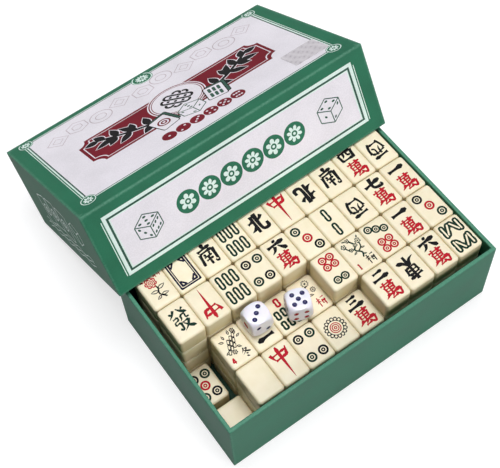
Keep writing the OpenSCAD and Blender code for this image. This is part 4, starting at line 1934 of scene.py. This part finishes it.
def dress_cad_nodes() -> None:
    """Gives the CAD nodes that stay their own finishes."""
    finishes: dict[str, Finish] = {
        "board": Greyboard(), "stays": KRAFT_TAPE, "lining": lining("dark_green_lining_paper", "#1F3D30"),
        "underside": lining("green_underside_paper", "#2E4F42"),
    }
    for name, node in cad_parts.items():
        word = next((w for w in finishes if w in name), None)
        if word and not node.hide_render:
            node.data.materials.clear()
            node.data.materials.append(finishes[word].material())
            LOG.info("%s is dressed in %s", name, finishes[word].name)


# Studio


@dataclass
class Studio:
    """Camera at the photograph's place, a pale floor and soft light from above."""

    camera_mm: tuple[float, float, float] = (-176.563, -228.015, 590.519)
    forward: tuple[float, float, float] = (0.26528267, 0.422134, -0.86684946)
    right: tuple[float, float, float] = (0.81297578, -0.58128776, -0.03427694)
    down: tuple[float, float, float] = (-0.51835845, -0.69563454, -0.49739029)
    focal_px: float = 1094.1
    frame_px: tuple[int, int] = (500, 468)
    centre_px: tuple[float, float] = (253.37, 232.99)
    sensor_mm: float = 36.0
    floor_size: float = 6.0
    floor_steps: int = 48
    floor_gap: float = 0.02
    # World strength on the left and on the right of the set
    dim_side: float = 0.05
    bright_side: float = 0.34
    # Each lamp's name, where it shines from, the angle it fills in degrees, and its strength
    lamps: tuple[tuple[str, tuple[float, float, float], float, float], ...] = (
        ("key", (0.07, 0.13, 1.3), 32, 2.26), ("front", (0.42, -1.1, 0.6), 34, 1.15))

    def camera(self) -> None:
        """Makes the camera from its place, its three directions and its focal length in pixels."""
        data = bpy.data.cameras.new("camera")
        data.sensor_fit = "HORIZONTAL"
        data.sensor_width = self.sensor_mm
        data.lens = self.focal_px / self.frame_px[0] * self.sensor_mm
        data.shift_x = (self.frame_px[0] / 2 - self.centre_px[0]) / self.frame_px[0]
        data.shift_y = (self.centre_px[1] - self.frame_px[1] / 2) / self.frame_px[0]
        data.clip_start = 0.01
        camera = bpy.data.objects.new("camera", data)
        axes = [self.right, np.negative(self.down), np.negative(self.forward)]
        turn = Matrix(np.column_stack(axes).tolist())
        camera.matrix_world = Matrix.Translation(Vector(self.camera_mm) * MM) @ turn.to_4x4()
        bpy.context.scene.collection.objects.link(camera)
        bpy.context.scene.camera = camera

    def floor(self) -> None:
        """Makes the floor: a disc of rings just under the object, as wide as any view needs."""
        surface = Surface()
        steps = self.floor_steps
        radii = np.array([1e-3, 0.02, 0.1, 0.3, 1.0]) * self.floor_size / MM
        rings = np.stack([circle((0, 0), r, steps) for r in radii])
        points = np.concatenate([rings, np.full(rings.shape[:2] + (1,), -self.floor_gap)], 2)
        surface.add_points(points.reshape(-1, 3))
        surface.add_faces(ring_faces(len(radii), steps).reshape(-1, 4)[:, ::-1])
        surface.add_faces(np.arange(steps)[None])
        surface.piece("floor", (StudioPaper(),))

    def lamp(self, name: str, place: Sequence[float], spread: float, strength: float) -> None:
        """Makes one far soft lamp, even over the floor, that shines from a place towards the set.

        Args:
            name: Its name.
            place: Where it shines from.
            spread: The angle it fills as seen from the set, in degrees.
            strength: Its strength.
        """
        data = bpy.data.lights.new(name, "SUN")
        data.angle = math.radians(spread)
        data.energy = strength
        lamp = bpy.data.objects.new(name, data)
        turn = Vector(place).to_track_quat("Z", "Y").to_matrix().to_4x4()
        lamp.matrix_world = Matrix.Translation(Vector(place)) @ turn
        bpy.context.scene.collection.objects.link(lamp)

    def light(self) -> None:
        """Makes the world and the lamps, at a level where a colour renders about as it is written."""
        world = bpy.data.worlds.new("studio")
        world.use_nodes = True
        world.node_tree.nodes.clear()
        tree = world.node_tree
        around = add(tree, "SeparateXYZ", {"Vector": add(tree, "TexCoord").outputs["Generated"]})
        soft = add(tree, "MapRange", {"Value": around.outputs["X"], "From Min": -1.0,
                                      "To Min": self.dim_side, "To Max": self.bright_side})
        rays = add(tree, "LightPath").outputs
        seen = add(tree, "Math", {0: rays["Is Camera Ray"], 1: rays["Is Transmission Ray"]},
                   operation="MAXIMUM")
        strength = add(tree, "Math", {0: soft, 1: seen}, operation="MAXIMUM")
        back = add(tree, "Background", {"Color": linear(WHITE), "Strength": strength})
        add(tree, "OutputWorld", {"Surface": back})
        bpy.context.scene.world = world
        for lamp in self.lamps:
            self.lamp(*lamp)

    def build(self) -> None:
        """Sets up the whole studio."""
        self.camera()
        self.floor()
        self.light()
        bpy.context.scene.view_settings.view_transform = "Standard"


def main() -> None:
    """Builds the set around the frame."""
    logging.basicConfig(level=logging.INFO, format="%(message)s")
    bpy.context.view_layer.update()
    Studio().build()
    lid = CaseLid()
    pieces = [CaseBase().build(), lid.wrap(), lid.sticker(), *TileSet().build()]
    pieces.append(Die("left_die", (-40.9, -9.5), -2.0, (6, 1, 5, 2, 3, 4), "NRNNNN", (3,)).build())
    pieces.append(Die("right_die", (-17.5, -16.1), -21.0, (1, 6, 3, 4, 5, 2), "RNNRNN").build())
    dress_cad_nodes()
    triangles = sum(sum(len(p.vertices) - 2 for p in o.data.polygons) for o in pieces)
    LOG.info("%d pieces, %d triangles", len(pieces), triangles)


if __name__ == "__main__":
    main()
